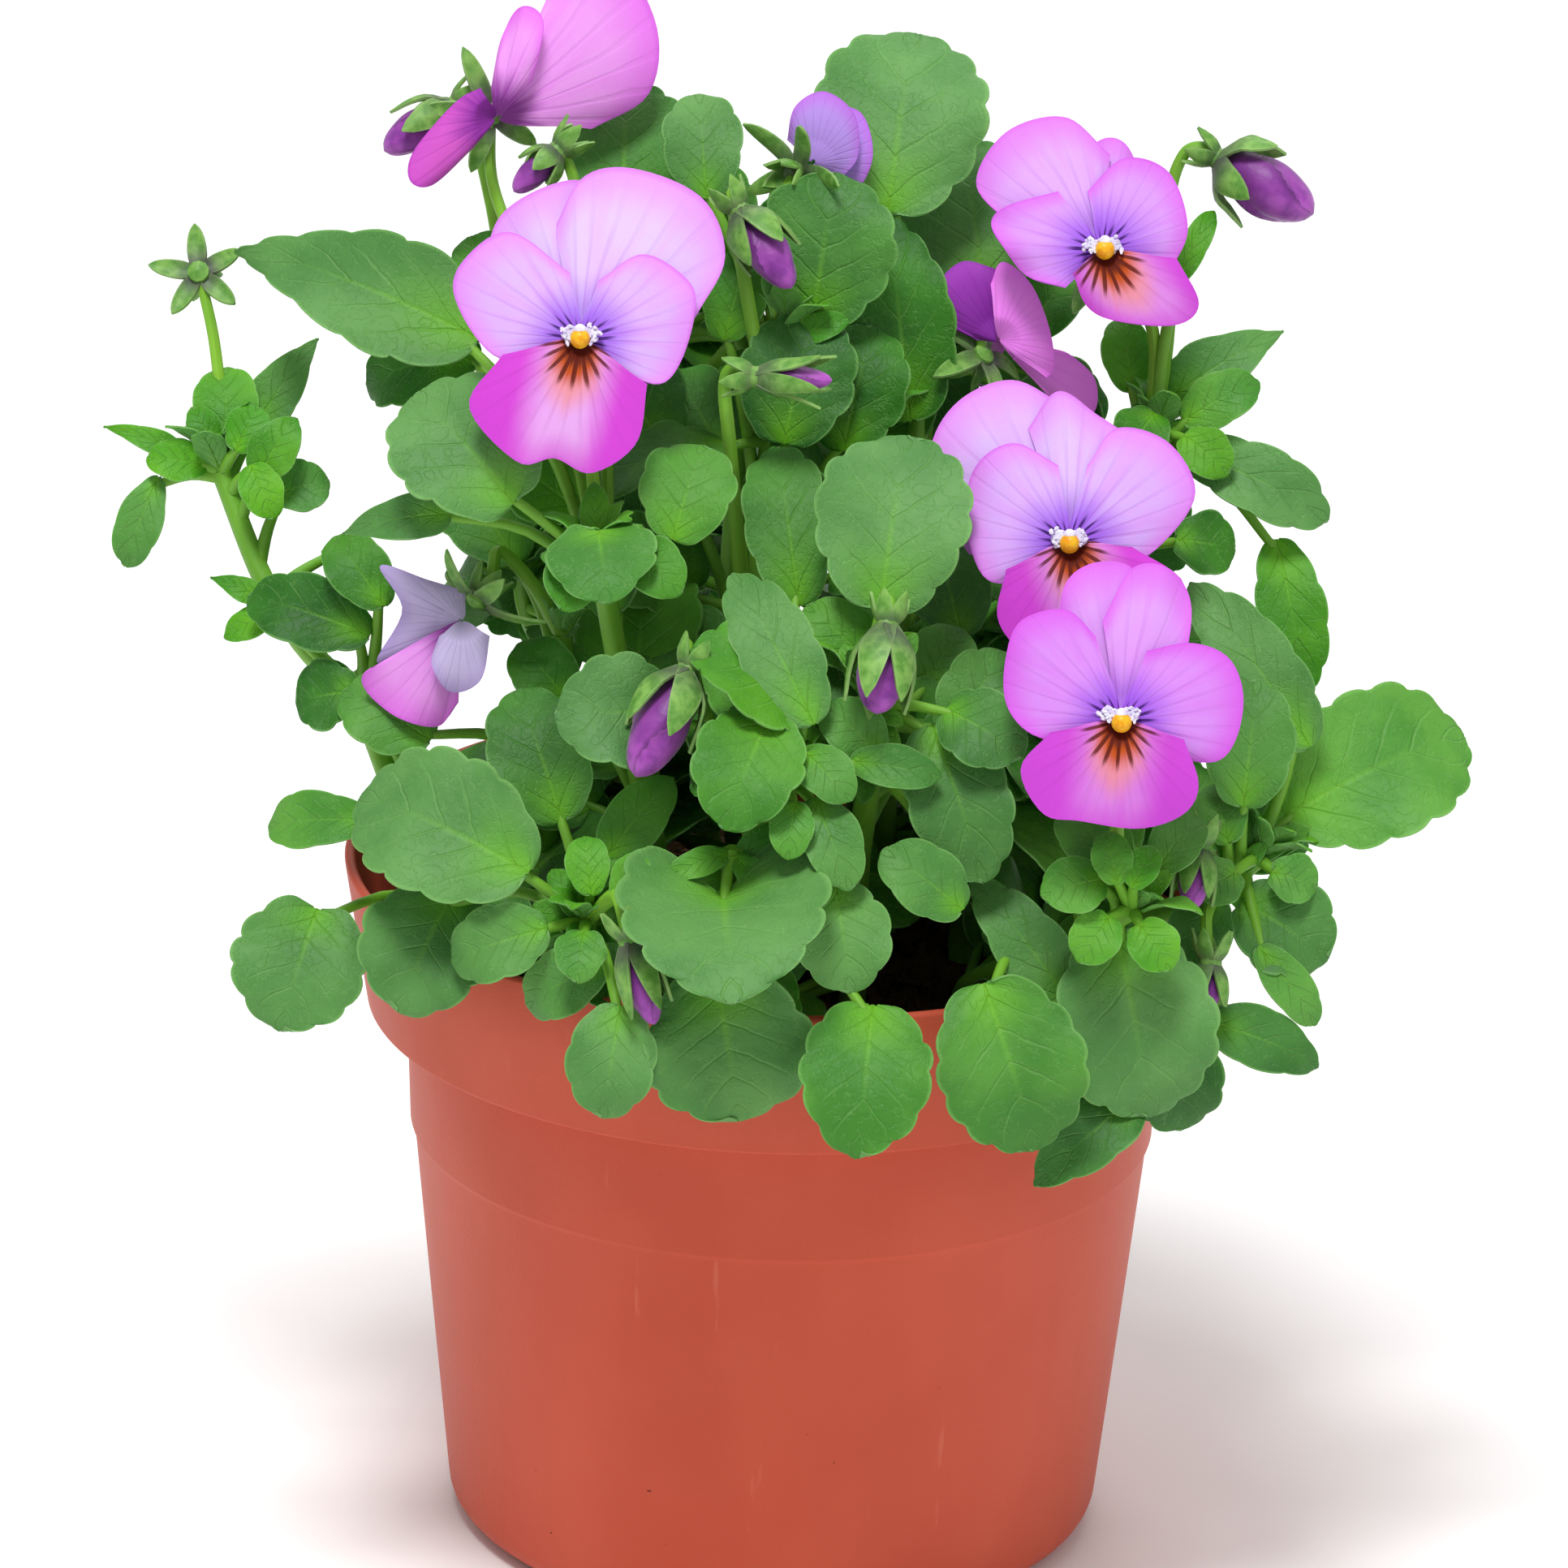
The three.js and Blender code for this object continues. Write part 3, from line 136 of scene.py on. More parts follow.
# ---- The plant's layout ----
# Each stem: where it stands in the soil (x, y), the places it passes, and what it carries.
# A leaf is [where on the stem, base, tip, width]; a stalk is [where on the stem, its places].
STEMS = {
  "left_far": {
    "root": [-41, -9],
    "path": [[-51, -4, 14], [-57, 10, 14], [-65, 19, 12], [-70.5, 28, 10], [-76, 42, 8]],
    "leaves": [
      [1, [-84.5, 41.5, 8], [-89, 29.5, 9], 6.5, "spoon"],
      [1, [-75, 45, 9], [-75.5, 56.5, 4], 9],
      [1, [-71.5, 48, 7], [-63, 60.5, 3], 7, "lance"],
      [0.96, [-71, 41.5, 12], [-66, 49.5, 12], 7, "egg"],
      [0.9, [-68.5, 39, 9], [-61.5, 41, 8], 7.5],
      [0.62, [-56, 20, 22], [-72.5, 25.5, 19], 10.5],
      [0.6, [-54, 24, 27], [-61, 33.5, 23], 8.5],
      [0.42, [-58, 12.5, 23], [-66, 11, 21], 10],
      [0.3, [-63, -17, 24], [-68, -33, 29], 18.5],
    ],
    "stalks": [[1, [[-76, 50, 6], [-77, 60, 4], [-79, 69, 3]]]],
  },
  "left_mid": {
    "root": [-16, -10],
    "path": [[-18, -6, 20], [-22, 14, 32], [-25, 31, 41]],
    "leaves": [
      [0.98, [-36.5, 38, 44], [-50, 53, 38], 20],
      [0.96, [-45, 36.5, 39], [-60, 34, 34], 6.5, "lance"],
      [0.94, [-41, 60, 24], [-75, 73, 8], 17, "lance"],
      [1, [-15, 33, 43], [-11, 46, 38], 13],
      [1, [-25, 34, 47], [-24, 25, 56], 15],
    ],
    "stalks": [
      [0.95, [[-28, 44, 32], [-33, 62, 26], [-37, 74, 20], [-39.5, 82, 15.5]]],
      [1, [[-26, 44, 37], [-26.5, 57, 37], [-27.5, 61.5, 40]]],
      [0.9, [[-31, 44, 24], [-37, 64, 16], [-39.5, 78, 12.5], [-42, 88, 14]]],
      [0.92, [[-24, 46, 30], [-25, 66, 28], [-28.5, 82, 27]]],
    ],
  },
  "left_low": {
    "root": [-24, -26],
    "path": [[-25, -28, 30], [-27, -18, 48]],
    "leaves": [
      [0.96, [-34.5, -12, 51], [-57.5, -1, 42], 20.5],
      [1, [-45, -15, 40], [-52, -30.5, 45], 18],
      [1, [-32, -19.5, 51], [-45, -24, 49], 10.5],
      [1, [-27, -20, 54], [-28, -26.5, 58], 7],
      [0.98, [-22, -30, 59], [-24.5, -45, 60], 12],
      [0.92, [-24, -10, 46], [-15, 1, 43], 8, "egg"],
      [0.9, [-30, -5, 37], [-36, 13, 32], 14],
      [0.86, [-24, -24, 52], [-35, -30, 50], 9],
    ],
    "stalks": [[0.98, [[-23, -15, 56], [-21.5, -19, 61]]]],
  },
  "left_back": {
    "root": [-30, 8],
    "path": [[-32, -8, 12], [-30, 8, 20], [-30, 20, 22]],
    "leaves": [
      [0.6, [-55, -5, 32], [-70, -5.5, 26], 8, "spoon"],
      [0.75, [-48, 6, 32], [-60, 12.5, 28], 11],
      [0.9, [-36, 30, 16], [-47, 45, 6], 13],
    ],
    "stalks": [[1, [[-34, 27, 25], [-38.5, 31.5, 28], [-39.5, 28, 30]]]],
  },
  "mid_front": {
    "root": [-6, -22],
    "path": [[-6, -14, 30], [-2, -3, 45], [0, 2, 50]],
    "leaves": [
      [1, [4, 8, 54], [-7, 29, 46], 11, "egg"],
      [0.98, [-2, 9, 54], [-8, -5.5, 63], 15],
      [0.94, [-15, 9, 50], [-30.5, 9.5, 56], 16],
      [0.98, [4, -2, 56], [9, -14, 60], 8],
      [0.9, [2, 24, 40], [-1, 46, 32], 12],
    ],
    "stalks": [[0.8, [[-10, 8, 48], [-13, 18.5, 50], [-13, 17, 53]]]],
  },
  "mid_low": {
    "root": [-8, -37],
    "path": [[-8, -24, 40], [-7, -9, 51]],
    "leaves": [
      [1, [-8.5, -13, 50], [-7, -28.5, 68], 28],
      [0.96, [-9, -27, 57], [-6, -45.5, 65], 23],
      [0.94, [12, -30, 57], [10, -50, 57], 17.5],
      [0.98, [7, -14, 55], [9, -28, 58], 13],
    ],
    "stalks": [],
  },
  "mid_right": {
    "root": [9, -20],
    "path": [[10, -10, 28], [12, 4, 44], [11, 12, 46]],
    "leaves": [
      [1, [13, 23.5, 47], [16.5, 47.5, 40], 21],
      [0.95, [20, 8, 48], [27, -13, 52], 14],
      [0.98, [22, 10, 50], [32, 4, 52], 11],
      [0.8, [24, -17, 52], [13.5, -9, 54], 9.5],
    ],
    "stalks": [[0.92, [[12.5, 18, 48], [14, 24.5, 51], [14.4, 23.2, 53.5]]]],
  },
  "mid_back": {
    "root": [-4, 6],
    "path": [[-4, 0, 2], [-3, 34, 16], [0, 60, 20]],
    "leaves": [
      [1, [4, 63, 22], [7, 82.5, 15], 20],
      [0.95, [-22, 76, 12], [-21, 95, 4], 18],
      [0.97, [-10.5, 79, 22], [-11.5, 93.5, 17], 11],
      [0.8, [17, 49, 16], [14, 77, 8], 15, "egg"],
      [0.7, [-16, 44, 16], [-26, 62, 8], 15],
    ],
    "stalks": [
      [0.96, [[-2, 70, 23], [-0.5, 78, 24]]],
      [0.9, [[-5, 66, 25], [-7, 79, 26], [-6.5, 78.5, 28]]],
      [0.62, [[-7, 42, 32], [-8, 54, 37], [-6, 56.5, 39]]],
    ],
  },
  "right_back": {
    "root": [13, 7],
    "path": [[14, 6, 4], [17, 38, 10], [19, 58, 9]],
    "leaves": [
      [1, [14, 77, 14], [17.5, 102, 6], 24],
      [1, [27, 66, 4], [24, 87, -4], 20],
      [0.7, [30, 40, 18], [42, 56, 12], 15],
    ],
    "stalks": [[0.96, [[22, 64, 12], [25, 66, 13], [26.5, 62, 14]]]],
  },
  "right_top": {
    "root": [24, -4],
    "path": [[28, 0, 18], [40, 24, 18], [50, 47, 14]],
    "leaves": [
      [1, [53, 45.5, 15], [73.5, 36, 18], 10, "spoon"],
      [1, [66.5, 33, 14], [70.5, 12.5, 17], 9.5],
      [1, [52, 52, 11], [67.5, 61.5, 8], 9, "lance"],
      [0.98, [54, 49, 17], [64, 54.5, 18], 7.5],
      [0.85, [53, 33, 27], [61, 31.5, 25], 9],
      [0.6, [24, 20, 30], [20, 34, 26], 12],
    ],
    "stalks": [
      [0.98, [[50, 60, 13], [46, 70, 14], [43.5, 74, 18]]],
      [0.55, [[38, 24, 30], [38, 34, 36], [38.5, 34.5, 39]]],
      [1, [[52, 62, 10], [52, 78, 10], [54, 85, 11], [57, 86, 12]]],
    ],
  },
  "right_low": {
    "root": [24, -30],
    "path": [[27, -26, 32], [38, -22, 44], [47, -17, 50]],
    "leaves": [
      [0.72, [27, -27, 54], [34, -49.5, 54], 20],
      [0.98, [45, -20, 47], [49.5, -45, 46], 22],
      [0.85, [39.5, -31, 51], [25.5, -12.5, 54], 9.5, "egg"],
      [0.8, [48, -42, 45], [34, -54, 50], 9.5, "egg"],
      [1, [43, -13, 54], [35, -15, 57], 8],
      [1, [50, -12, 49], [56, -4, 46], 7],
      [0.94, [51, -31, 42], [54, -47, 43], 13],
    ],
    "stalks": [[0.97, [[45, -8, 54], [45, 6, 55.5], [45.5, 10, 56.3]]]],
  },
  "right_far": {
    "root": [36, -14],
    "path": [[42, -20, 26], [56, -16, 32], [64, -10, 33]],
    "leaves": [
      [0.98, [67.5, -4.5, 30], [92, 7.5, 22], 21.5],
      [0.95, [62, -16, 35], [73.5, -23.5, 36], 14],
      [0.9, [57, -32, 39], [72.5, -38, 36], 8.5, "egg"],
      [1, [71, 5, 34], [55, 27.5, 31], 11, "egg"],
      [0.96, [62, -3, 40], [64, 14, 40], 12],
      [0.92, [60, -8, 39], [58, 0, 38], 7],
    ],
    "stalks": [
      [0.8, [[56, -10, 40], [56.5, -7, 43]]],
      [0.85, [[57, -18, 42], [57.5, -24, 43]]],
    ],
  },
}

BACK_CROWNS = {
  "back_east": [86, [2, 5, 50], 6, 25, 20],
  "back_north_east": [124, [0, -3, 53], 6, 26, 21],
  "back_north": [163, [-2, 8, 54], 6, 27, 22],
  "back_north_west": [202, [2, -3, 53], 6, 26, 21],
  "back_west": [240, [-2, 6, 50], 6, 25, 20],
  "back_high_east": [143, [2, 44, 48], 6, 25, 19],
  "back_high_west": [206, [-2, 47, 46], 6, 25, 19],
}

BLOOMS = {
  "bloom_top_left": {
    "eye": [-39, 90, 22],
    "lean": [-0.2, 0.1],
    "petals": [
      [-1, [[-33.5, 98], [-31, 108], [-26, 111], [-20.5, 109], [-17, 101], [-18.5, 93],
            [-26, 88.5]]],
      [1, [[-39.5, 94], [-38, 101], [-35.5, 105], [-32.5, 103], [-34, 95]]],
      [2, [[-41, 94], [-44.5, 92], [-50, 85.5], [-50.5, 81.5], [-47.5, 81], [-42, 86]]],
    ],
  },
  "bloom_left": {
    "eye": [-27.5, 60, 46],
    "lean": [0, -0.25],
    "petals": [
      [-2, [[-41, 68], [-38, 77], [-29, 81.5], [-22, 79]]],
      [-1, [[-31, 75], [-27, 82], [-20, 83], [-11, 79], [-8, 71], [-12, 63]]],
      [0, [[-29, 69], [-37, 74.5], [-43, 71], [-44.5, 66], [-40, 58.5], [-33, 56]]],
      [0, [[-25, 68], [-19, 71.5], [-13, 68], [-12, 64], [-14, 57], [-17, 54], [-23, 56]]],
      [1, [[-38, 58], [-42.5, 51], [-36, 43.5], [-31, 44], [-26, 42], [-20, 46], [-18.5, 54]]],
    ],
  },
  "bloom_right_top": {
    "eye": [43, 72, 24],
    "lean": [-0.1, -0.25],
    "petals": [
      [-2, [[39, 81], [42, 86.5], [46, 86.5], [49, 80]]],
      [-1, [[31, 75], [26, 81], [30, 88], [38, 90], [44, 85]]],
      [0, [[41, 80], [46, 84.5], [52, 82.5], [54.5, 75], [52, 69]]],
      [0, [[37, 80], [30, 78], [28, 75.5], [30, 72], [33, 68.5], [38, 67]]],
      [1, [[39, 69], [41, 64.5], [45, 62.5], [53, 62], [56, 65], [53, 71]]],
    ],
  },
  "bloom_right": {
    "eye": [38.5, 32.5, 44],
    "lean": [0, -0.2],
    "petals": [
      [-2, [[25, 31], [20.5, 38], [20, 46], [24, 52], [31, 54.5], [38, 51]]],
      [-1, [[33, 48], [37, 53], [42, 50], [47, 46], [48, 39]]],
      [0, [[37, 43], [31, 46], [26, 43], [24.5, 36], [27, 28], [33, 27]]],
      [0, [[41, 43], [45, 48], [52, 46], [55.5, 39], [50, 31.5], [44, 29]]],
      [1, [[30, 29], [29, 22], [34, 17], [44, 16], [52, 20], [54, 27], [47, 32]]],
    ],
  },
  "bloom_front": {
    "eye": [45.5, 8.5, 61],
    "lean": [0, -0.15],
    "petals": [
      [-2, [[37, 18], [38, 27], [43, 30], [48, 28], [50, 18]]],
      [-1, [[43, 22], [47, 29], [52, 29], [55, 24], [54, 15]]],
      [0, [[42, 20], [38, 23.5], [32, 22], [30, 17], [30, 11], [33, 7], [39, 5]]],
      [0, [[49, 18], [55, 19], [60, 17], [62, 12], [61, 6], [58, 3], [51, 4]]],
      [1, [[36, 7], [32, 2], [35, -4], [40, -5], [48, -6], [54, -4], [56, 0], [54, 6]]],
    ],
  },
  "bloom_profile": {
    "eye": [29, 60, 16],
    "lean": [-0.2, 0],
    "back": [-0.6, -0.55, -0.6],
    "petals": [
      [-2, [[34, 59], [38.5, 58], [42, 54.5], [41.5, 50], [36, 52]]],
      [-1, [[26, 60], [21, 63], [20.5, 67], [24, 70.5], [29, 69.5]]],
      [1, [[27.9, 67.5], [29.6, 70.5], [33.3, 67.5], [35.8, 61.5], [36.5, 56.5], [35.4, 54.8]]],
    ],
  },
  "bloom_half_open": {
    "eye": [4, 84, 18],
    "lean": [0.2, 0.1],
    "back": [-0.6, -0.35, 0.7],
    "petals": [
      [-2, [[6, 92], [10.5, 90.5], [12, 85], [10, 80.5], [6.5, 80]]],
      [-0.5, [[0.5, 87], [1.5, 91.5], [5.5, 93.5], [9.5, 90.5], [10, 85], [8, 82]]],
    ],
  },
  "bloom_wilted": {
    "eye": [-43.5, 22, 31],
    "lean": [0.1, 0.1],
    "back": [0.5, 0.75, -0.2],
    "petals": [
      [-1, [[-43, 26], [-48, 27.5], [-54.5, 29.5], [-51.5, 23.5], [-55, 16.5], [-49, 18.5]]],
      [0.5, [[-50, 18], [-57, 14.5], [-53, 9.5], [-47, 7.8], [-44, 11]]],
      [2, [[-46.5, 20], [-47.5, 16], [-45, 12.5], [-41, 14], [-39.8, 20]]],
    ],
  },
}

BACK_BLOOMS = {
  "bloom_back_east": ["bloom_left", 160, [2, 30, 70], "back_high_east"],
  "bloom_back_west": ["bloom_front", 206, [-2, 24, 72], "back_high_west"],
}

BUDS = {
  "bud_top_left": [[-44.5, 91.5, 15], [-54, 85.5, 16], 3],
  "bud_left_dark": [[-30.5, 85.5, 28], [-36.5, 80, 29], 2],
  "bud_mid_top": [[-6, 77.5, 29], [1, 67, 32], 3],
  "bud_mid": [[-4, 55, 40], [6.5, 54.5, 42], 1.9],
  "bud_right_top": [[58.5, 84.5, 12.5], [71.5, 77, 14], 4.4],
  "bud_front": [[-13, 15.5, 54], [-20, 1, 57], 3.8],
  "bud_front_right": [[14, 21.5, 54], [12.5, 9.5, 57], 3.4],
  "bud_low_left": [[-21, -21, 62], [-17.5, -32.5, 62], 2.2],
  "bud_low_right": [[56, -8.5, 44], [55, -17, 46], 2],
  "bud_small": [[57.6, -24, 43.2], [57, -31, 43.5], 1.8],
}

CARRIES = {
  "left_far": ["spent"],
  "left_mid": ["bloom_top_left", "bloom_left", "bud_top_left", "bud_left_dark"],
  "left_low": ["bud_low_left"],
  "left_back": ["bloom_wilted"],
  "mid_front": ["bud_front"],
  "mid_right": ["bud_front_right"],
  "mid_back": ["bloom_half_open", "bud_mid_top", "bud_mid"],
  "right_back": ["bloom_profile"],
  "right_top": ["bloom_right_top", "bloom_right", "bud_right_top"],
  "right_low": ["bloom_front"],
  "right_far": ["bud_low_right", "bud_small"],
}

# Small leaves that only the looks have: [where on the stem, base, tip, width, form]
SMALL_LEAVES = {
  "right_back": [[1, [32, 60, 0], [39.5, 70, -4], 9]],
  "left_far": [
    [1, [-81, 44.5, 7], [-92, 48.5, 4], 3.6, "lance"],
    [1, [-78, 43, 9], [-86, 44, 10], 6],
    [0.66, [-70.5, 25, 14], [-77.5, 28, 13], 3.6, "lance"],
    [0.62, [-69, 23, 14], [-75.7, 19.8, 13], 4.5, "egg"],
    [1, [-74, 45, 12], [-71, 51, 10], 6],
    [1, [-77, 46, 10], [-80, 51, 8], 4.5, "egg"],
    [0.97, [-72, 43, 13], [-69, 36, 15], 6],
  ],
  "left_low": [
    [0.96, [-26, -15, 53], [-27, -7, 50], 6],
    [0.98, [-22.5, -15.5, 56], [-19, -9.5, 55], 5],
  ],
  "left_mid": [
    [1, [-26, 32, 48], [-30, 24, 54], 9],
    [0.98, [-28, 37, 30], [-38, 44, 26], 12],
    [1, [-21, 32, 49], [-14, 26, 53], 8],
    [0.98, [-34, 60, 20], [-43, 74, 15], 13],
    [0.6, [-29, 11, 26], [-36, 19, 24], 9],
    [0.95, [-41, 58, 20], [-57, 54, 10], 11],
  ],
  "mid_front": [
    [0.97, [1.5, -2.5, 58], [0.5, -10, 61], 6],
    [0.96, [9, 3, 53], [21, 1, 55], 6],
    [1, [3, 4, 56], [9, -2, 60], 7],
  ],
  "mid_right": [
    [0.9, [13, 4, 50], [5.5, 10.5, 51], 8],
    [0.86, [12, 16, 44], [3, 24, 44], 9],
    [0.8, [19, 13, 38], [24, 21, 36], 9],
    [0.9, [22, 6, 42], [30, 18, 38], 10],
  ],
  "mid_back": [
    [0.7, [0, 46, 24], [4, 64, 22], 16],
    [0.7, [12, 43, 10], [17, 57, 6], 12],
    [0.75, [8, 45, 22], [12, 62, 20], 14],
    [0.8, [-8, 60, 22], [-5, 72, 20], 9],
    [0.9, [-8, 70, 12], [-9, 84, 8], 10],
    [0.7, [-8, 44, 14], [-15, 56, 10], 12],
    [0.5, [-12, 26, 12], [-23, 40, 8], 13],
    [0.4, [-8, 12, 20], [-13, 24, 18], 10],
  ],
  "right_top": [
    [0.98, [47, 53, 9], [45.5, 63, 7], 7],
    [1, [52.5, 67, 12], [58, 77.5, 11], 4],
    [1, [50, 50, 18], [46, 44, 22], 8],
    [1, [54, 47, 19], [60, 42, 21], 7],
  ],
  "right_low": [
    [1, [46, -12, 52], [38, -3, 46], 9],
    [1, [45, -13.5, 57], [43.5, -6.5, 56], 5.5],
    [1, [47, -14, 57], [50, -8.5, 56], 4.5],
    [0.96, [44, -12, 50], [44, -2, 44], 9],
    [1, [48, -19, 54], [52, -25, 56], 7],
    [1, [44, -18, 55], [40, -24, 57], 7],
  ],
  "right_far": [
    [0.95, [64, -22, 38], [72, -32.5, 37], 6],
    [1, [66, -12, 37], [72, -14, 37], 7],
    [1, [61, -12, 40], [56, -15, 42], 7],
    [0.97, [60, -10, 30], [70, -5, 26], 11],
    [0.9, [58, -15, 36], [54, -26, 38], 9],
  ],
}

# [young, pale] of the leaves whose tone differs from that of their neighbours. Part of their
# paleness is painted light and shade: lit leaves are set paler, shaded ones darker.
TONES = {
  ("left_far", 0): [0.2, 0.55], ("left_far", 1): [0.8, 0.4], ("left_far", 2): [0.2, 0.8],
  ("left_far", 3): [0.75, 0.4], ("left_far", 4): [0.3, 0.7], ("left_far", 5): [0.05, 0.05],
  ("left_far", 7): [0.1, 0.1], ("left_far", 8): [0.1, 0.8],
  ("left_mid", 0): [0.1, 0.85], ("left_mid", 1): [0.1, 0.7], ("left_mid", 2): [0.1, 0.8],
  ("left_mid", 3): [0.35, 0.4], ("left_mid", 4): [0.35, 0.5],
  ("left_low", 0): [0.1, 0.85], ("left_low", 4): [0.1, 0.85], ("left_back", 0): [0.5, 0.7],
  ("mid_front", 0): [0.1, 0.8], ("mid_front", 1): [0.4, 0.25], ("mid_front", 3): [0.2, 0.7],
  ("mid_low", 0): [0.1, 0.8], ("mid_low", 1): [0.1, 0.75], ("mid_low", 2): [0.4, 0.4],
  ("mid_right", 0): [0.1, 0.9], ("mid_back", 0): [0.15, 0.45], ("mid_back", 1): [0.1, 0.2],
  ("mid_back", 2): [0.1, 0.75], ("right_back", 0): [0.1, 1.0], ("right_back", 1): [0.1, 0.85],
  ("right_top", 0): [0.1, 0.9], ("right_top", 1): [0.6, 0.15], ("right_top", 2): [0.15, 0.8],
  ("right_top", 3): [0.5, 0.6], ("right_low", 0): [0.3, 0.45], ("right_low", 1): [0.1, 0.9],
  ("right_low", 2): [0.15, 0.8], ("right_low", 3): [0.0, 0.3], ("right_low", 4): [0.5, 0.5],
  ("right_low", 6): [0.0, 0.2], ("right_far", 0): [0.5, 0.85], ("right_far", 1): [0.1, 0.55],
  ("right_far", 2): [0.0, 0.3], ("right_far", 3): [0.1, 0.75],
}
# How much yellower the small leaves of a stem are.
FRESH = {"left_far": 0.45, "left_low": 0.35, "right_low": 0.3, "left_mid": 0.15, "right_top": 0.2}
HEARTS = (("mid_low", 0),)  # leaves that are notched deeply at their base
SHOOTLESS = ("mid_low",)  # crowns that a wide leaf covers
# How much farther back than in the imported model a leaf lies, in mm.
TUCKED = {("left_back", 1): 6, ("right_back", 2): 16, ("back_high_west", 4): 6}

# Leaves inside the plant, which only the looks have, stand behind the others as they are
# seen from the front, or within this outline: [right, up].
THICKET = [[-54, -4], [-40, 3], [-35, 13], [-35, 28], [-29, 36], [-28, 43], [-14, 52], [-9, 73],
           [-10, 81], [4, 81], [15, 80], [26, 83], [29, 70], [20, 64], [23, 53], [26, 44],
           [45, 34], [54, 31], [58, 22], [61, 12], [65, 0], [57, -14], [54, -22], [41, -29],
           [24, -31], [5, -30], [-22, -27], [-34, -28], [-44, -28], [-54, -22], [-51, -16]]
# Gaps in it that stay open: [first right, last right, first up, last up].
CLEARINGS = [[14.5, 26, -32, -20], [3, 15, -33, -26], [-24, 7, -15, -7]]

# The colour of each petal, in the order of its bloom's petals.
FACE = ["upper", "upper", "side", "side", "lower"]
PETAL_KINDS = {
  "bloom_top_left": ["pink", "pink", "rose"],
  # bloom_profile lies in the shade of bloom_right_top: its flare petals are a brightened pink,
  # painted light against that shade.
  "bloom_profile": ["flare", "purple", "flare"],
  "bloom_half_open": ["lilac", "lilac"],
  "bloom_wilted": ["ash", "pink", "ash"],
}
# How deeply a bloom is coloured.
BLOOM_DEPTH = 0.3
BLOOM_DEPTHS = {"bloom_left": 0.05, "bloom_right": 0.15, "bloom_right_top": 0.55,
                "bloom_front": 0.75, "bloom_back_east": 0.3, "bloom_back_west": 0.7}

# How far a bud's sepals reach along it, and how far their points stand off, as shares.
BUD_SEPALS = {"bud_mid": (0.98, 1.5), "bud_front": (0.62, 1.05), "bud_front_right": (1.05, 1.0),
              "bud_right_top": (0.5, 1.25), "bud_mid_top": (0.7, 1.1), "bud_left_dark": (0.55, 1.0),
              "bud_low_left": (0.9, 1.0), "bud_low_right": (0.95, 1.0), "bud_small": (0.95, 1.0),
              "bud_top_left": (0.72, 1.0)}

# A bend moves a leaf nearer or farther, and tips its point nearer or farther.
BENDS = [(shift, pitch)
         for shift in (0, 2.5, -2.5, 5, -5, 7.5, -7.5, 10, -10)
         for pitch in (0, 0.2, -0.2, 0.4, -0.4)]


# ---- Places and curves ----

def turned(point, degrees):
    angle = math.radians(degrees)
    c, s = math.cos(angle), math.sin(angle)
    x, y, z = point
    return np.array([c * x - s * y, s * x + c * y, z])


def seen(place, turn=0):
    right, up, near = place
    scale = (VIEW_DISTANCE - near) / VIEW_DISTANCE
    return turned(VIEW_TARGET + RIGHT * right * scale + UP * up * scale + NEAR * near, turn)


def seen_way(direction, turn=0):
    right, up, near = direction
    return unit(turned(RIGHT * right + UP * up + NEAR * near, turn))


def unit(vector):
    return vector / max(np.linalg.norm(vector), 1e-9)


class Curve:
    """A smooth curve through points, whose parameter counts them evenly."""

    def __init__(self, points):
        self.points = np.array(points, float)

    def at(self, share):
        points = self.points
        last = len(points) - 1
        place = last * share
        i = int(min(max(math.floor(place), 0), last - 1))
        w = place - i
        before = points[i - 1] if i > 0 else 2 * points[0] - points[1]
        after = points[i + 2] if i + 2 <= last else 2 * points[-1] - points[-2]
        a, b = points[i], points[i + 1]
        start, end = (b - before) / 2, (after - a) / 2
        return (a + start * w + (3 * (b - a) - 2 * start - end) * w ** 2
                + (2 * (a - b) + start + end) * w ** 3)

    def line(self, count):
        return np.array([self.at(t) for t in np.linspace(0, 1, count)])


def across_of(along, facing):
    return unit(np.cross(along, facing))


def ring_angles(sides):
    return 2 * np.pi * np.arange(sides) / sides


def new_object(name, points, faces):
    mesh = bpy.data.meshes.new(name)
    mesh.from_pydata(points, [], faces)
    made = bpy.data.objects.new(name, mesh)
    bpy.context.scene.collection.objects.link(made)
    return made


# ---- Closed shells ----

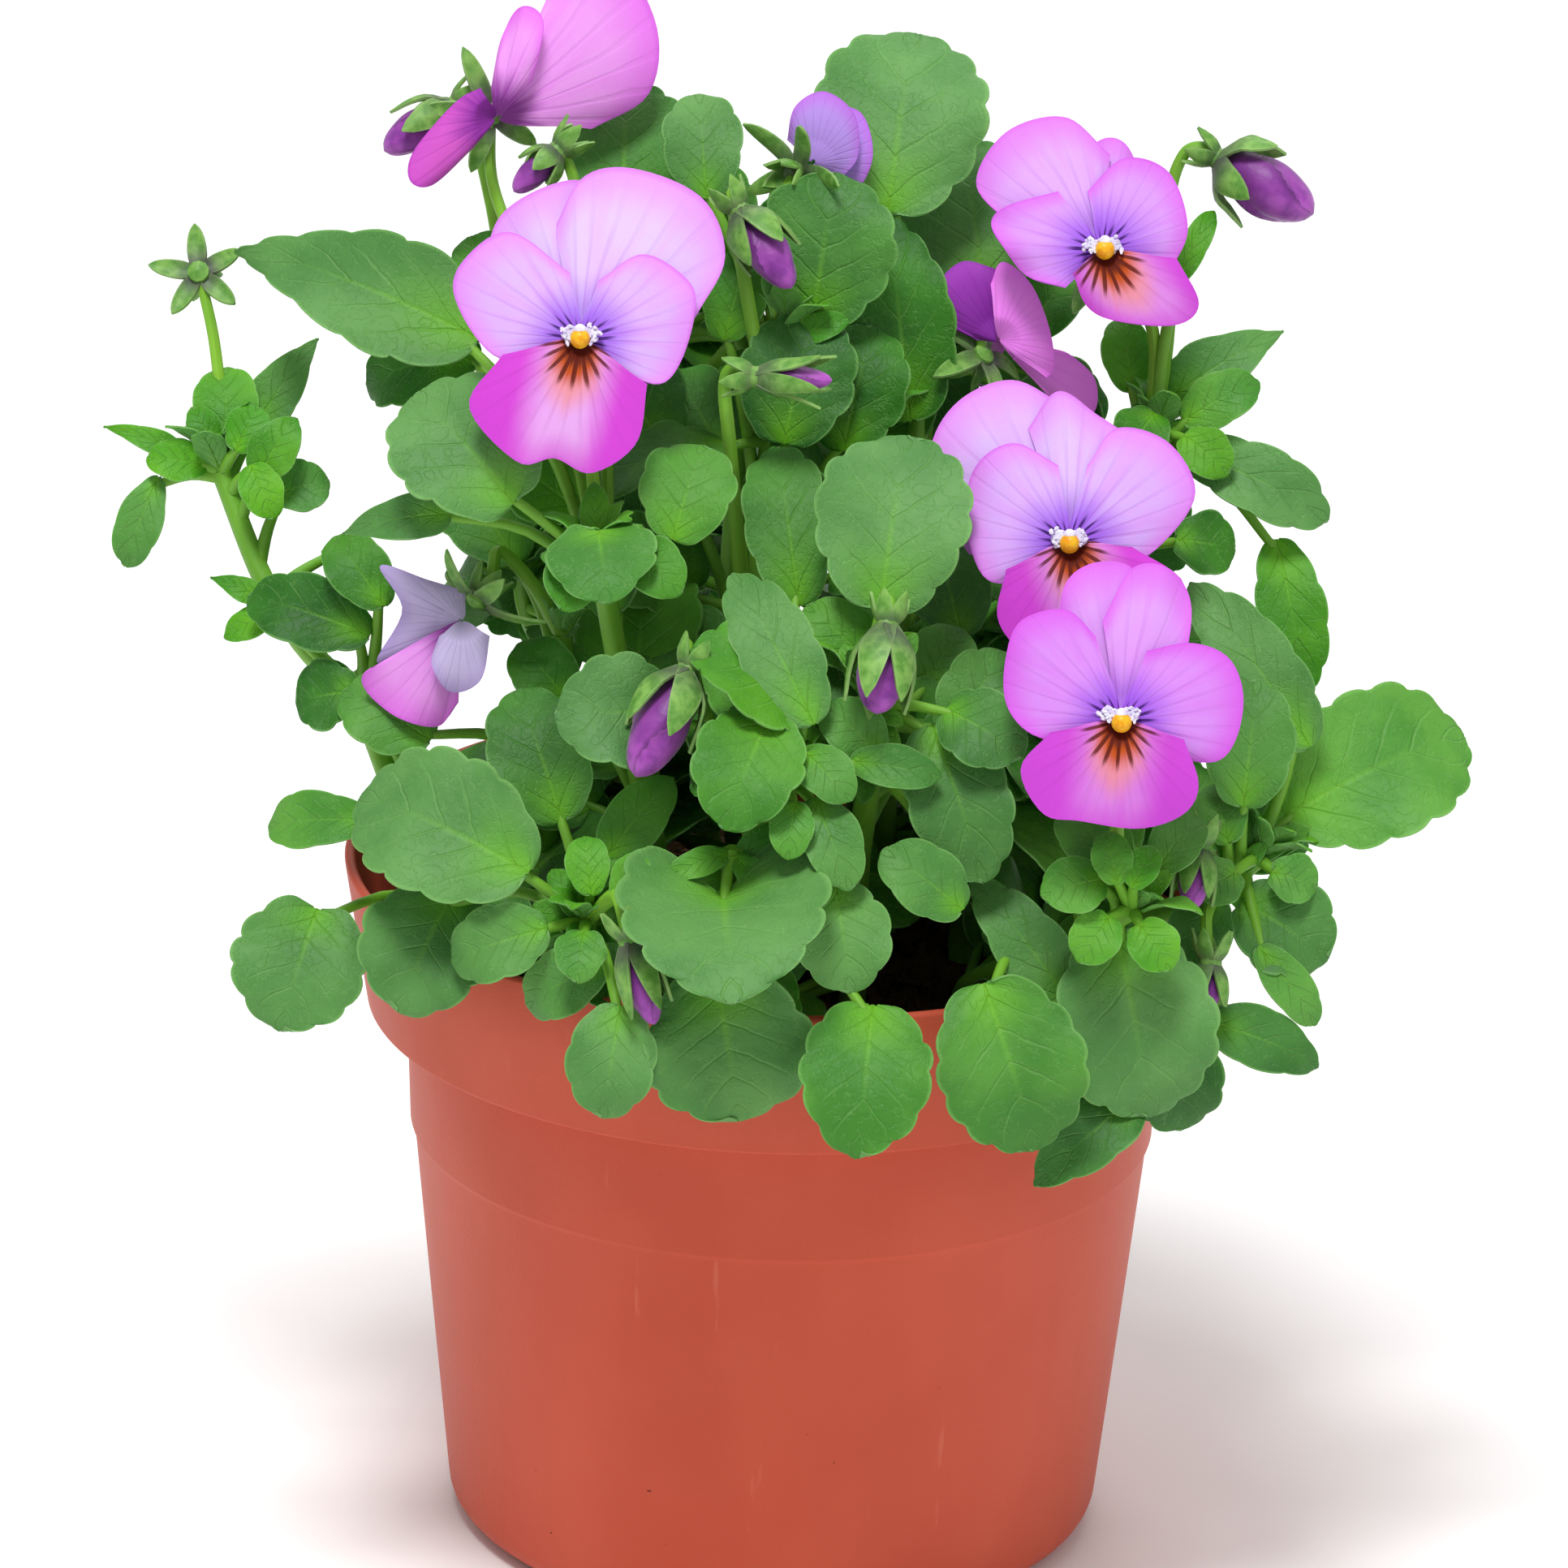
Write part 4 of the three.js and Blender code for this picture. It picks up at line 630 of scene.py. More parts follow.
class Shape:
    """A piece in the making: closed shells in mm. spot and tone are coordinates for the
    materials, and skin is the material of each shell."""

    def __init__(self):
        self.points, self.faces, self.skins, self.spots, self.tones = [], [], [], [], []
        self.count = 0

    def add(self, points, faces, skin, spot, tone):
        points = np.asarray(points, float)
        faces = [np.asarray(group) for group in faces if len(group)]
        volume = 0
        for group in faces:
            a = points[group[:, 0]]
            for k in range(1, group.shape[1] - 1):
                b, c = points[group[:, k]], points[group[:, k + 1]]
                volume += np.einsum("ij,ij->", a, np.cross(b, c))
        for group in faces:
            if volume < 0:
                group = group[:, ::-1]
            self.faces += (group + self.count).tolist()
            self.skins += [skin] * len(group)
        self.points.append(points)
        self.spots.append(np.broadcast_to(spot, points.shape))
        self.tones.append(np.broadcast_to(tone, points.shape))
        self.count += len(points)

    def build(self, name, node, sharp=50):
        piece = new_object(name, (np.concatenate(self.points) * MM).tolist(), self.faces)
        mesh = piece.data
        for label, rows in (("spot", self.spots), ("tone", self.tones)):
            values = np.concatenate(rows).astype(np.float32)
            attribute = mesh.attributes.new(label, "FLOAT_VECTOR", "POINT")
            attribute.data.foreach_set("vector", values.ravel())
        used = sorted(set(self.skins), key=list(PAINTS).index)
        for skin in used:
            mesh.materials.append(PAINTS[skin])
        numbers = {skin: i for i, skin in enumerate(used)}
        mesh.polygons.foreach_set("material_index", [numbers[skin] for skin in self.skins])
        mesh.polygons.foreach_set("use_smooth", [True] * len(mesh.polygons))
        mesh.set_sharp_from_angle(angle=math.radians(sharp))
        mesh.update()
        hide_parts(node)
        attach(piece, "root")
        return piece


def grid_quads(rows, columns, wrap=False):
    """The quads of a grid of points. wrap joins its last column to its first."""
    index = np.arange(rows * columns).reshape(rows, columns)
    right = np.roll(index, -1, axis=1)
    if not wrap:
        index, right = index[:, :-1], right[:, :-1]
    quads = [index[:-1], right[:-1], right[1:], index[1:]]
    return np.stack(quads, axis=-1).reshape(-1, 4)


def add_sheet(shape, grid, thickness, skin, spot, tone):
    """A closed sheet over a grid of points. tone's third value is 1 on top and 0 below."""
    rows, columns = grid.shape[:2]
    across = np.gradient(grid, axis=1)
    along = np.gradient(grid, axis=0)
    normal = np.cross(across, along)
    normal /= np.maximum(np.linalg.norm(normal, axis=2, keepdims=True), 1e-9)
    half = normal * (np.broadcast_to(thickness, (rows, columns))[..., None] / 2)
    points = np.concatenate([(grid + half).reshape(-1, 3), (grid - half).reshape(-1, 3)])
    size = rows * columns
    index = np.arange(size).reshape(rows, columns)
    top = grid_quads(rows, columns)
    rim = np.concatenate([index[0, :-1], index[:-1, -1], index[-1, :0:-1], index[:0:-1, 0]])
    ahead = np.roll(rim, -1)
    wall = np.stack([ahead, rim, rim + size, ahead + size], axis=1)
    spots = np.concatenate([spot.reshape(-1, 3)] * 2)
    tones = np.zeros((2 * size, 3))
    tones[:, :2] = tone
    tones[:size, 2] = 1
    shape.add(points, [top, (top + size)[:, ::-1], wall], skin, spots, tones)


def add_rings(shape, rings, skin, spot, tone):
    """A closed body through rings of points, with a fan at each end."""
    count, sides = rings.shape[:2]
    ends = np.array([rings[0].mean(0), rings[-1].mean(0)])
    points = np.concatenate([rings.reshape(-1, 3), ends])
    first = np.arange(sides)
    last = first + (count - 1) * sides
    fans = [np.stack([np.roll(first, -1), first, np.full(sides, count * sides)], axis=1),
            np.stack([last, np.roll(last, -1), np.full(sides, count * sides + 1)], axis=1)]
    spots = np.concatenate([spot.reshape(-1, 3), spot[0, :1], spot[-1, :1]])
    shape.add(points, [grid_quads(count, sides, wrap=True), *fans], skin, spots, tone)


def frames_along(line):
    """A steady pair of cross directions at each point of a line."""
    tangents = np.gradient(line, axis=0)
    tangents /= np.maximum(np.linalg.norm(tangents, axis=1, keepdims=True), 1e-9)
    side = AXIS if abs(tangents[0][2]) < 0.9 else np.array([1.0, 0, 0])
    pairs = []
    for tangent in tangents:
        side = unit(side - tangent * side.dot(tangent))
        pairs.append((side, np.cross(tangent, side)))
    return pairs


def add_tube(shape, line, radii, skin, tone, sides=8, ridge=0.0):
    """A tube along a line. ridge is how far its four ribs stand out, as a share."""
    line = np.asarray(line, float)
    radii = np.broadcast_to(radii, len(line))
    angles = ring_angles(sides)
    reach = 1 + ridge * np.cos(4 * angles)
    rings = np.array([
        point + radius * (np.outer(reach * np.cos(angles), u) + np.outer(reach * np.sin(angles), v))
        for point, radius, (u, v) in zip(line, radii, frames_along(line))])
    spot = np.zeros(rings.shape)
    spot[..., 0] = angles / np.pi - 1
    spot[..., 1] = np.linspace(0, 1, len(line))[:, None]
    add_rings(shape, rings, skin, spot, tone)


# ---- Leaves ----

def outline_of(t, form, forms=FORMS):
    """Half width of a blade, as a share of its greatest half width."""
    peak, sharpness = forms[form]
    q = np.power(t, math.log(0.5) / math.log(peak))
    return np.power(np.clip(4 * q * (1 - q), 0, 1), sharpness)


def form_of(row):
    return row[4] if len(row) > 4 else "round"


def blade_axes(base, tip, facing):
    along = tip - base
    across = across_of(along, facing)
    return along, across, unit(np.cross(across, along))


def cad_blade(base, tip, width, form, facing):
    """Points on the top face of a leaf's plain solid."""
    along, across, normal = blade_axes(base, tip, facing)
    length = np.linalg.norm(along)
    large = length > LARGE_LEAF
    cells = 5 if large else 4
    found = []
    for i in range(cells + 1):
        t = i / cells
        half = width / 2 * max(outline_of(t, form) * CAD_TEETH[i % 2], CAD_BLUNT_TIP)
        middle = base + along * t + normal * (4 * t * (1 - t) * LEAF_ARCH * length)
        lift = normal * (CAD_LEAF_THICKNESS / 2)
        fold = normal * (LEAF_FOLD * half if large else 0)
        found += [middle - across * half + fold + lift, middle + across * half + fold + lift]
        if large:
            found.append(middle + lift)
    return found


def is_near(tree, point, distance):
    return tree.find_nearest(Vector(point * MM), distance * MM)[0] is not None


def leaf_bend(tree, row, turn, facing):
    """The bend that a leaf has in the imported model, or None if it isn't there."""
    _, base, tip, width = row[:4]
    length = math.dist(base, tip)
    best, best_share = None, CAD_MATCH_SHARE
    for shift, pitch in BENDS:
        low = seen([*base[:2], base[2] + shift], turn)
        high = seen([*tip[:2], tip[2] + shift + pitch * length], turn)
        marks = cad_blade(low, high, width, form_of(row), facing)
        on = sum(is_near(tree, mark, CAD_MATCH) for mark in marks)
        if on / len(marks) > best_share:
            best, best_share = (low, high), on / len(marks)
    return best


def add_leaf(shape, low, high, width, form, facing, rng, tone, plain=False):
    """A blade with rounded teeth, arched along its length and folded along its midrib."""
    along, across, normal = blade_axes(low, high, facing)
    length = np.linalg.norm(along)
    broad = width > BROAD_LEAF and not plain
    rows, columns = FINE_GRID if broad else COARSE_GRID
    turns = np.linspace(0.035 * np.pi, np.pi, rows)[:, None]
    t = 0.5 - 0.5 * np.cos(turns)
    s = np.linspace(-1, 1, columns)[None, :]
    s = np.sign(s) * np.abs(s) ** 0.8
    size = (width + length) / 2
    teeth = round(min(7, max(3, size / TOOTH_PITCH)))
    phase = rng.uniform(0, 1)
    half = width / 2 * np.maximum(outline_of(t, form, LOOKS), 0.03)
    # the margin steps in between the teeth, towards the middle of the blade
    dent = 1 - np.abs(np.sin(teeth * turns + 0.5 * np.sign(s) + phase)) ** 0.55
    depth = (0.1 if broad else 0.07) * np.clip((t - 0.06) / 0.12, 0, 1)
    shrink = 1 - depth * dent * np.abs(s) ** 4
    side = s * half * shrink
    if form == "heart":
        lobes, ramp = HEART_LOBES, np.sqrt(t / HEART_LOBE * np.exp(1 - t / HEART_LOBE))
    else:
        lobes, ramp = 0.04 + 0.16 * max(0, width / length - 0.85), t / LOBE * np.exp(1 - t / LOBE)
    back = -lobes * width * ramp * np.abs(s) ** 1.3
    run = (0.5 + (t - 0.5) * shrink) * length + back
    arch = 4 * t * (1 - t) * LEAF_ARCH * length
    fold = LEAF_FOLD * np.abs(side) ** 1.25 / max(width / 2, 1) ** 0.25
    wave = LEAF_WAVE * width * np.sin(2 * np.pi * (1.7 * t + phase + 0.25 * np.sign(s))) * s ** 2
    vein = t - 0.3 * np.abs(s)
    pucker = (LEAF_PUCKER * width * np.cos(2 * np.pi * teeth * vein)
              * np.abs(s) * (1.15 - np.abs(s)))
    droop = -LEAF_DROOP * length * np.maximum(t - 0.6, 0) ** 2
    lift = arch + fold + wave + pucker + droop
    if form == "heart":
        lift = lift - wave - 0.5 * back
    grid = (low + run[..., None] * unit(along) + side[..., None] * across
            + lift[..., None] * normal)
    spot = np.stack(np.broadcast_arrays(s, t, np.full((1, 1), size)), axis=-1)
    thickness = LEAF_THICKNESS * (1 - 0.45 * np.abs(s) ** 4) * (1 - 0.3 * t)
    add_sheet(shape, grid, thickness, "leaf", spot, tone)
    if not plain:
        reach = int(rows * 0.7)
        midrib = grid[:reach, columns // 2] - normal * (LEAF_THICKNESS * 0.6)
        add_tube(shape, midrib, np.linspace(*MIDRIB_RADII, reach) * min(1, width / 16), "stalk",
                 [0.25, 0.5, 0], sides=6)


def add_petiole(shape, start, low, high, young=0.5):
    reach = np.linalg.norm(low - start)
    inside = low + 0.1 * (high - low)
    knee = (start + low) / 2 + AXIS * (0.12 * reach if reach >= 15 else 0.04 * reach)
    line = Curve([start, knee, inside]).line(9)
    add_tube(shape, line, np.linspace(*PETIOLE_RADII, 9), "stalk", [young, young, 0])


def add_stipules(shape, start, way, facing, size, rng):
    """The two narrow lobed leaflets where a petiole leaves its stem."""
    side = across_of(way, facing)
    for hand in (-1, 1):
        out = unit(way * 0.8 + side * hand * rng.uniform(0.5, 0.9) + AXIS * rng.uniform(0, 0.5))
        length = size * rng.uniform(0.8, 1.15)
        add_leaf(shape, start, start + out * length, length * 0.42, "spoon", facing, rng,
                 [rng.uniform(0.4, 0.7), rng.uniform(0.2, 0.5)], plain=True)


# ---- Calyces and buds ----

def frame_along(direction):
    side = unit(np.cross(direction, AXIS if abs(direction[2]) < 0.95 else RIGHT))
    return side, np.cross(side, direction), direction


def add_sepal(shape, line, width, outward, tone):
    """A lance-shaped sepal along a line, hollow on its inner side."""
    count, columns = len(line), 5
    t = np.linspace(0, 1, count)[:, None]
    s = np.linspace(-1, 1, columns)[None, :]
    half = width / 2 * np.sin(np.pi * (0.16 + 0.84 * t) ** 0.9) ** 0.7 + 0.05
    along = np.gradient(line, axis=0)
    across = np.cross(along, outward)
    across /= np.linalg.norm(across, axis=1, keepdims=True)
    normal = np.cross(across, along)
    normal /= np.linalg.norm(normal, axis=1, keepdims=True)
    normal *= np.sign(np.sum(normal * outward, axis=1, keepdims=True))
    grid = (line[:, None] + (s * half)[..., None] * across[:, None]
            - (0.25 * half * s ** 2)[..., None] * normal[:, None])
    spot = np.stack(np.broadcast_arrays(s, t, np.full((1, 1), width)), axis=-1)
    add_sheet(shape, grid, SEPAL_THICKNESS, "sepal", spot, tone)


def add_calyx(shape, place, direction, rng, bud=None, spent=False):
    """Five sepals and their ears round the end of a stalk. Those of a bud close round it."""
    x, y, z = frame_along(direction)
    add_tube(shape, [place - z * 1.6, place - z * 0.6, place + z * 0.9, place + z * 1.5],
             [0.9, 1.5, 1.5, 0.5], "sepal", [0.3, 0.5, 0], sides=10)
    for i in range(5):
        angle = 2 * math.pi * i / 5 + rng.uniform(-0.12, 0.12)
        out = x * math.cos(angle) + y * math.sin(angle)
        if bud:
            length, radius, share, spread = bud
            reach = length * share * rng.uniform(0.85, 1.05)
            spots = [(0.9, 0.0), (radius * 0.95 + 0.4, 0.3), (radius * 1.12 + 0.6, 0.62),
                     (radius * spread + 0.9, 1.0)]
            width = min(4.2, radius * 1.15 + 0.4)
        else:
            length = (6.9 if spent else 8.8) * rng.uniform(0.9, 1.08)
            fall = 0.6 if spent else -2.0
            spots = [(0.9, 0.1), (0.4 * length, 0.1), (0.75 * length, 0.45 * fall), (length, fall)]
            reach, width = 1, 2.5
        line = Curve([place + out * r + z * h * reach for r, h in spots]).line(9)
        tone = [rng.uniform(0, 0.5), rng.uniform(0.35, 0.7)]
        add_sepal(shape, line, width, (out if bud else -z), tone)
        ear = Curve([place + out * 1.0, place + out * 2.1 - z * 1.6, place + out * 2.7 - z * 4.2])
        add_sepal(shape, ear.line(6), 2.3, out, [0, 0.8])


def add_bud(shape, place, tip, radius, rng):
    """The folded petals of a bud: a drop with overlapping twisted folds."""
    direction = unit(tip - place)
    x, y, z = frame_along(direction)
    whole = np.linalg.norm(tip - place)
    start, folds, twist = 0.9, 3, 1.6
    heights = np.linspace(0, 1, 26)
    drop = Curve([[0.25, 0], [0.62, 0.12], [0.95, 0.38], [0.98, 0.6], [0.72, 0.85],
                  [0.34, 0.97], [0.05, 1]]).line(120)
    angles = ring_angles(40)
    phase = rng.uniform(0, 6)
    rings = []
    for h in heights:
        r = radius * np.interp(h, drop[:, 1], drop[:, 0])
        fold = np.mod((angles + phase + twist * h) / (2 * np.pi) * folds, 1)
        reach = r * (0.9 + 0.16 * fold * math.sin(math.pi * min(1, 0.15 + h * 0.85)))
        squeeze = 1 - 0.18 * h
        rings.append(place + z * (start + h * (whole - start))
                     + np.outer(reach * np.cos(angles), x)
                     + np.outer(reach * squeeze * np.sin(angles), y))
    rings = np.array(rings)
    spot = np.zeros(rings.shape)
    spot[..., 0] = np.mod((angles + phase)[None] / (2 * np.pi) * folds
                          + twist * folds / (2 * np.pi) * heights[:, None], 1)
    spot[..., 1] = heights[:, None]
    add_rings(shape, rings, "bud", spot, [rng.uniform(0, 1), 0.5, 1])


# ---- Blooms ----

def eye_of(bloom, shift):
    return np.array(bloom["eye"], float) + shift


def leaning(bloom, right, up):
    """How much nearer a bloom's face is at a place than at its eye."""
    return bloom["lean"][0] * right + bloom["lean"][1] * up


def add_petal(shape, bloom, layer, outline, turn, shift, kind, depth, rng):
    """A petal, whose spots are [mm across its axis, mm along it, share of its reach]."""
    eye = eye_of(bloom, shift)
    outer = Curve([[r - bloom["eye"][0], u - bloom["eye"][1]] for r, u in outline])
    rows, columns = PETAL_ROWS, PETAL_COLUMNS
    shares = np.linspace(0, 1, columns)
    rims = outer.line(columns)
    middle = outer.at(0.5)
    axis = unit(outer.line(9).mean(axis=0))
    reach_across = rims[-1] - rims[0]
    if reach_across[0] * axis[1] < reach_across[1] * axis[0]:  # its top faces the viewer
        rims = rims[::-1]
    waves, phase = rng.uniform(1.6, 2.6), rng.uniform(0, 6)
    grid = np.zeros((rows, columns, 3))
    spot = np.zeros((rows, columns, 3))
    for i, reach in enumerate(np.linspace(0.04, 1, rows)):
        spread = 1 + 0.3 * (1 - reach) ** 3
        for j, share in enumerate(shares):
            right, up = (middle + (rims[j] - middle) * spread) * reach
            bulge = math.cos(math.pi * (share - 0.5))
            ripple = (0.5 * math.sin(2 * math.pi * waves * share + phase)
                      + 0.2 * math.sin(13 * share + 2 * phase)) * reach ** 4
            ripple += 1.1 * bulge * reach * (1 - reach) * 2 - 0.5 * (1 - bulge) * reach ** 2
            away = math.hypot(right, up)
            near = (leaning(bloom, right, up) - 0.006 * away * away
                    + LAYER * layer * min(1, away / 3) + ripple)
            grid[i, j] = seen(eye + [right, up, near], turn)
            spot[i, j] = [right * axis[1] - up * axis[0], right * axis[0] + up * axis[1], reach]
    thickness = PETAL_THICKNESS * (1 - 0.4 * np.linspace(0, 1, rows) ** 3)[:, None]
    rims = np.abs(shares - 0.5)[None, :] * 2
    add_sheet(shape, grid, thickness * (1 - 0.3 * rims ** 6), kind, spot,
              [depth, rng.uniform(0, 1)])


def add_tuft(shape, bloom, right, up, turn, shift, rng):
    """A tuft of short white hairs beside the throat."""
    eye = eye_of(bloom, shift)
    for _ in range(TUFT_HAIRS):
        foot = np.array([right, up]) + rng.normal(0, 0.42, 2)
        lean = rng.normal(0, 0.3, 2) + [-0.3 * np.sign(right), -0.15]
        spots = [[*(foot + lean * h), 1.6 + 1.3 * h] for h in (0, 0.5, 1)]
        line = [seen(eye + [r, u, leaning(bloom, r, u) + n], turn) for r, u, n in spots]
        add_tube(shape, line, [0.32, 0.3, 0.16], "tuft", [0.5, 0.5, 1], sides=5)


def add_throat(shape, bloom, turn, shift, rng):
    """The stigma's knob, the yellow lip below it, the two tufts and the spur behind."""
    facing = seen_way([-bloom["lean"][0], -bloom["lean"][1], 1], turn)
    low = seen_way([0, -1, 0], turn)
    middle = seen(eye_of(bloom, shift), turn)
    heights = np.linspace(0, math.pi, 11)
    for offset, radius, out in ((0.6, 1.3, 2.6), (-0.5, 0.75, 2.8)):
        heart = middle + facing * out + low * offset
        line = [heart - facing * radius * math.cos(h) for h in heights]
        skin = "eye" if radius > 1 else "tuft"
        add_tube(shape, line, radius * np.sin(heights) + 0.03, skin, [0.5, 0.5, 1], sides=18)
    for side in (-1, 1):
        add_tuft(shape, bloom, 1.5 * side, 0.9, turn, shift, rng)
    back = calyx_way(bloom, turn)
    spur = Curve([middle, middle + back * 2.6 + low * 1.3, middle + back * 5.5 + low * 2.6])
    add_tube(shape, spur.line(8), [1.5, 1.4, 1.3, 1.2, 1.15, 1.1, 0.95, 0.5], "purple",
             [0.5, 0.5, 1], sides=12)


def calyx_way(bloom, turn):
    if "back" in bloom:
        return seen_way(bloom["back"], turn)
    return seen_way([bloom["lean"][0], bloom["lean"][1] + 0.12, -1], turn)


# ---- The stems ----

def back_stem(row, index):
    """The layout of a stem on the unseen side, in its own turned view."""
    turn, crown, count, length, width = row
    right, up, near = crown
    leaves = []
    for i in range(count):
        angle = i * GOLDEN_ANGLE + index
        x, y = math.cos(angle), math.sin(angle)
        size = 0.8 + 0.2 * math.sin(2.3 * i + index)
        gap = BACK_LEAF_GAP + 2 * (i % 3)
        base = [right + gap * x, up + gap * y, near + 1 - 2 * y]
        reach = gap + length * size
        tip = [right + reach * x, up + reach * y, near - 4 - 5 * y]
        leaves.append([1 - 0.02 * i, base, tip, width * size])
    foot = math.radians(turn - 90)
    radius = BACK_ROOT_RADIUS / 2 if up > 30 else BACK_ROOT_RADIUS
    root = [radius * math.cos(foot), radius * math.sin(foot)]
    path = [[right, up * 0.3 - 14, near * 0.6], [right, up - 8, near - 5], crown]
    return {"root": root, "path": path, "turn": turn, "leaves": leaves, "stalks": []}


def whole_layout():
    stems = {name: dict(stem) for name, stem in STEMS.items()}
    for i, (name, row) in enumerate(BACK_CROWNS.items()):
        stems[name] = back_stem(row, i)
    blooms = {name: (bloom, 0, np.zeros(3)) for name, bloom in BLOOMS.items()}
    carries = dict(CARRIES)
    for name, (like, turn, eye, owner) in BACK_BLOOMS.items():
        blooms[name] = (BLOOMS[like], turn, np.array(eye, float) - BLOOMS[like]["eye"])
        right, up, near = eye
        places = [[right, up - 12, near - 10], [right, up - 2, near - 8]]
        stems[owner]["stalks"].append([0.9, places])
        stems[owner]["stalk_turn"] = turn
        carries[owner] = [name]
    return stems, blooms, carries


def leaf_tone(row, rng):
    """Young leaves are yellower. Low and near leaves are made paler and high ones at the back
    darker: painted light on the front of the plant and painted shade at its back and top.
    """
    base, width = row[1], row[3]
    young = 0.5 * max(0, 1 - width / 14) + 0.1
    # pale paints light and shade: it rises with nearness and falls with height.
    pale = 0.5 - 0.007 * base[1] + 0.008 * (base[2] - 40)
    return [np.clip(young + rng.normal(0, 0.12), 0, 1), np.clip(pale + rng.normal(0, 0.14), 0, 1)]


def add_stalk(shape, start, places, carried, blooms, turn, rng):
    """A flower stalk with its calyx."""
    way = [seen(place, turn) for place in places]
    if carried in blooms:
        bloom, _, shift = blooms[carried]
        back = calyx_way(bloom, turn)
        end = seen(eye_of(bloom, shift), turn) + back * CALYX_BACK
        add_calyx(shape, end, -back, rng)
    elif carried in BUDS:
        place, tip, radius = BUDS[carried]
        end = seen(place)
        direction = seen(tip) - end
        length = np.linalg.norm(direction)
        share, spread = BUD_SEPALS[carried]
        add_calyx(shape, end, direction / length, rng, bud=(length, radius, share, spread))
    else:
        end = way.pop()
        add_calyx(shape, end, seen_way([-0.1, 0.3, 1], turn), rng, spent=True)
    line = Curve([start, *way, end]).line(6 * (len(way) + 2))
    add_tube(shape, line, np.linspace(*STALK_RADII, len(line)), "stalk",
             [rng.uniform(0.6, 0.95), rng.uniform(0.4, 0.7), 0], sides=10, ridge=0.08)


def crown_shoots(shape, curve, rng):
    """The young leaves that stand in the heart of a stem's crown."""
    heart = curve.at(1)
    way = unit(heart - curve.at(0.93))
    x, y, z = frame_along(unit(way + 0.6 * AXIS))
    for i in range(SHOOTS):
        angle = i * GOLDEN_ANGLE
        out = unit(x * math.cos(angle) + y * math.sin(angle) + z * rng.uniform(0.8, 1.6))
        length = rng.uniform(4.5, 9)
        base = heart + out * 1.5
        add_leaf(shape, base, base + out * length, length * 0.52, "egg", unit(z - 0.5 * out), rng,
                 [rng.uniform(0.75, 1), rng.uniform(0.2, 0.6)])


def in_thicket(right, up):
    """Whether a place lies inside the outline, by the crossings of a line to its right."""
    if any(a < right < b and c < up < d for a, b, c, d in CLEARINGS):
        return False
    crossings = 0
    for (a, b), (c, d) in zip(THICKET, THICKET[1:] + THICKET[:1]):
        if (b > up) != (d > up) and right < a + (up - b) / (d - b) * (c - a):
            crossings += 1
    return crossings % 2 == 1


def front_place(point):
    """A point's place [right, up, near] as it is seen from the front."""
    offset = point - VIEW_TARGET
    near = offset.dot(NEAR)
    scale = (VIEW_DISTANCE - near) / VIEW_DISTANCE
    return offset.dot(RIGHT) / scale, offset.dot(UP) / scale, near


def may_stand(point, screens):
    """Whether a leaf may reach a point: it hides nothing that is seen from the front."""
    right, up, _ = front_place(point)
    eye = VIEW_TARGET + NEAR * VIEW_DISTANCE
    hidden = screens["all"].ray_cast(Vector(point * MM), Vector(unit(eye - point)))[0] is not None
    if not hidden and not in_thicket(right, up):
        return False
    if not hidden:
        behind = screens["all"].ray_cast(Vector(point * MM), Vector(unit(point - eye)), 0.1)[0]
        if behind is not None and front_place(np.array(behind) / MM)[2] > NEAREST_VEIL:
            return False
    return not is_near(screens["blooms"], point, BLOOM_KEEP)


def crosses_rim(point):
    """Whether a place is at the pot's rim, at the back."""
    behind, below, outside = RIM_KEEP
    return point[1] > behind and point[2] < below and np.hypot(*point[:2]) > outside


def inner_leaves(shape, curve, screens, rng):
    """Leaves along the lower parts of a stem, inside the plant."""
    found = 0
    for i in range(8 * INNER_LEAVES):
        if found == INNER_LEAVES:
            break
        where = rng.uniform(0.3, 0.97)
        start = curve.at(where)
        angle = i * GOLDEN_ANGLE + rng.uniform(-0.4, 0.4)
        outward = unit(start * [1, 1, 0] + [0, 0.01, 0])
        way = np.array([math.cos(angle), math.sin(angle), rng.uniform(0, 0.5)])
        way = unit(way + 0.5 * outward)
        length = rng.uniform(13, 21)
        low = start + way * rng.uniform(5, 13)
        high = low + unit(way + AXIS * rng.uniform(-0.4, 0.3)) * length
        if min(low[2], high[2]) < SOIL_TOP + 2 or np.hypot(*high[:2]) > INNER_REACH:
            continue
        width = length * rng.uniform(0.72, 0.95)
        facing = unit(AXIS + 0.7 * outward + rng.normal(0, 0.2, 3))
        across = across_of(high - low, facing) * width / 2
        middle = (low + high) / 2
        marks = [low, middle, high, middle - across, middle + across]
        marks += [(end + middle) / 2 + 0.8 * side
                  for end in (low, high) for side in (across, -across)]
        if any(crosses_rim(mark) for mark in marks):
            continue
        if all(may_stand(mark, screens) for mark in marks):
            found += 1
            add_leaf(shape, low, high, width, "round", facing, rng,
                     [rng.uniform(0.1, 0.6), rng.uniform(0.1, 0.5)])
            add_petiole(shape, start, low, high, young=0.4)


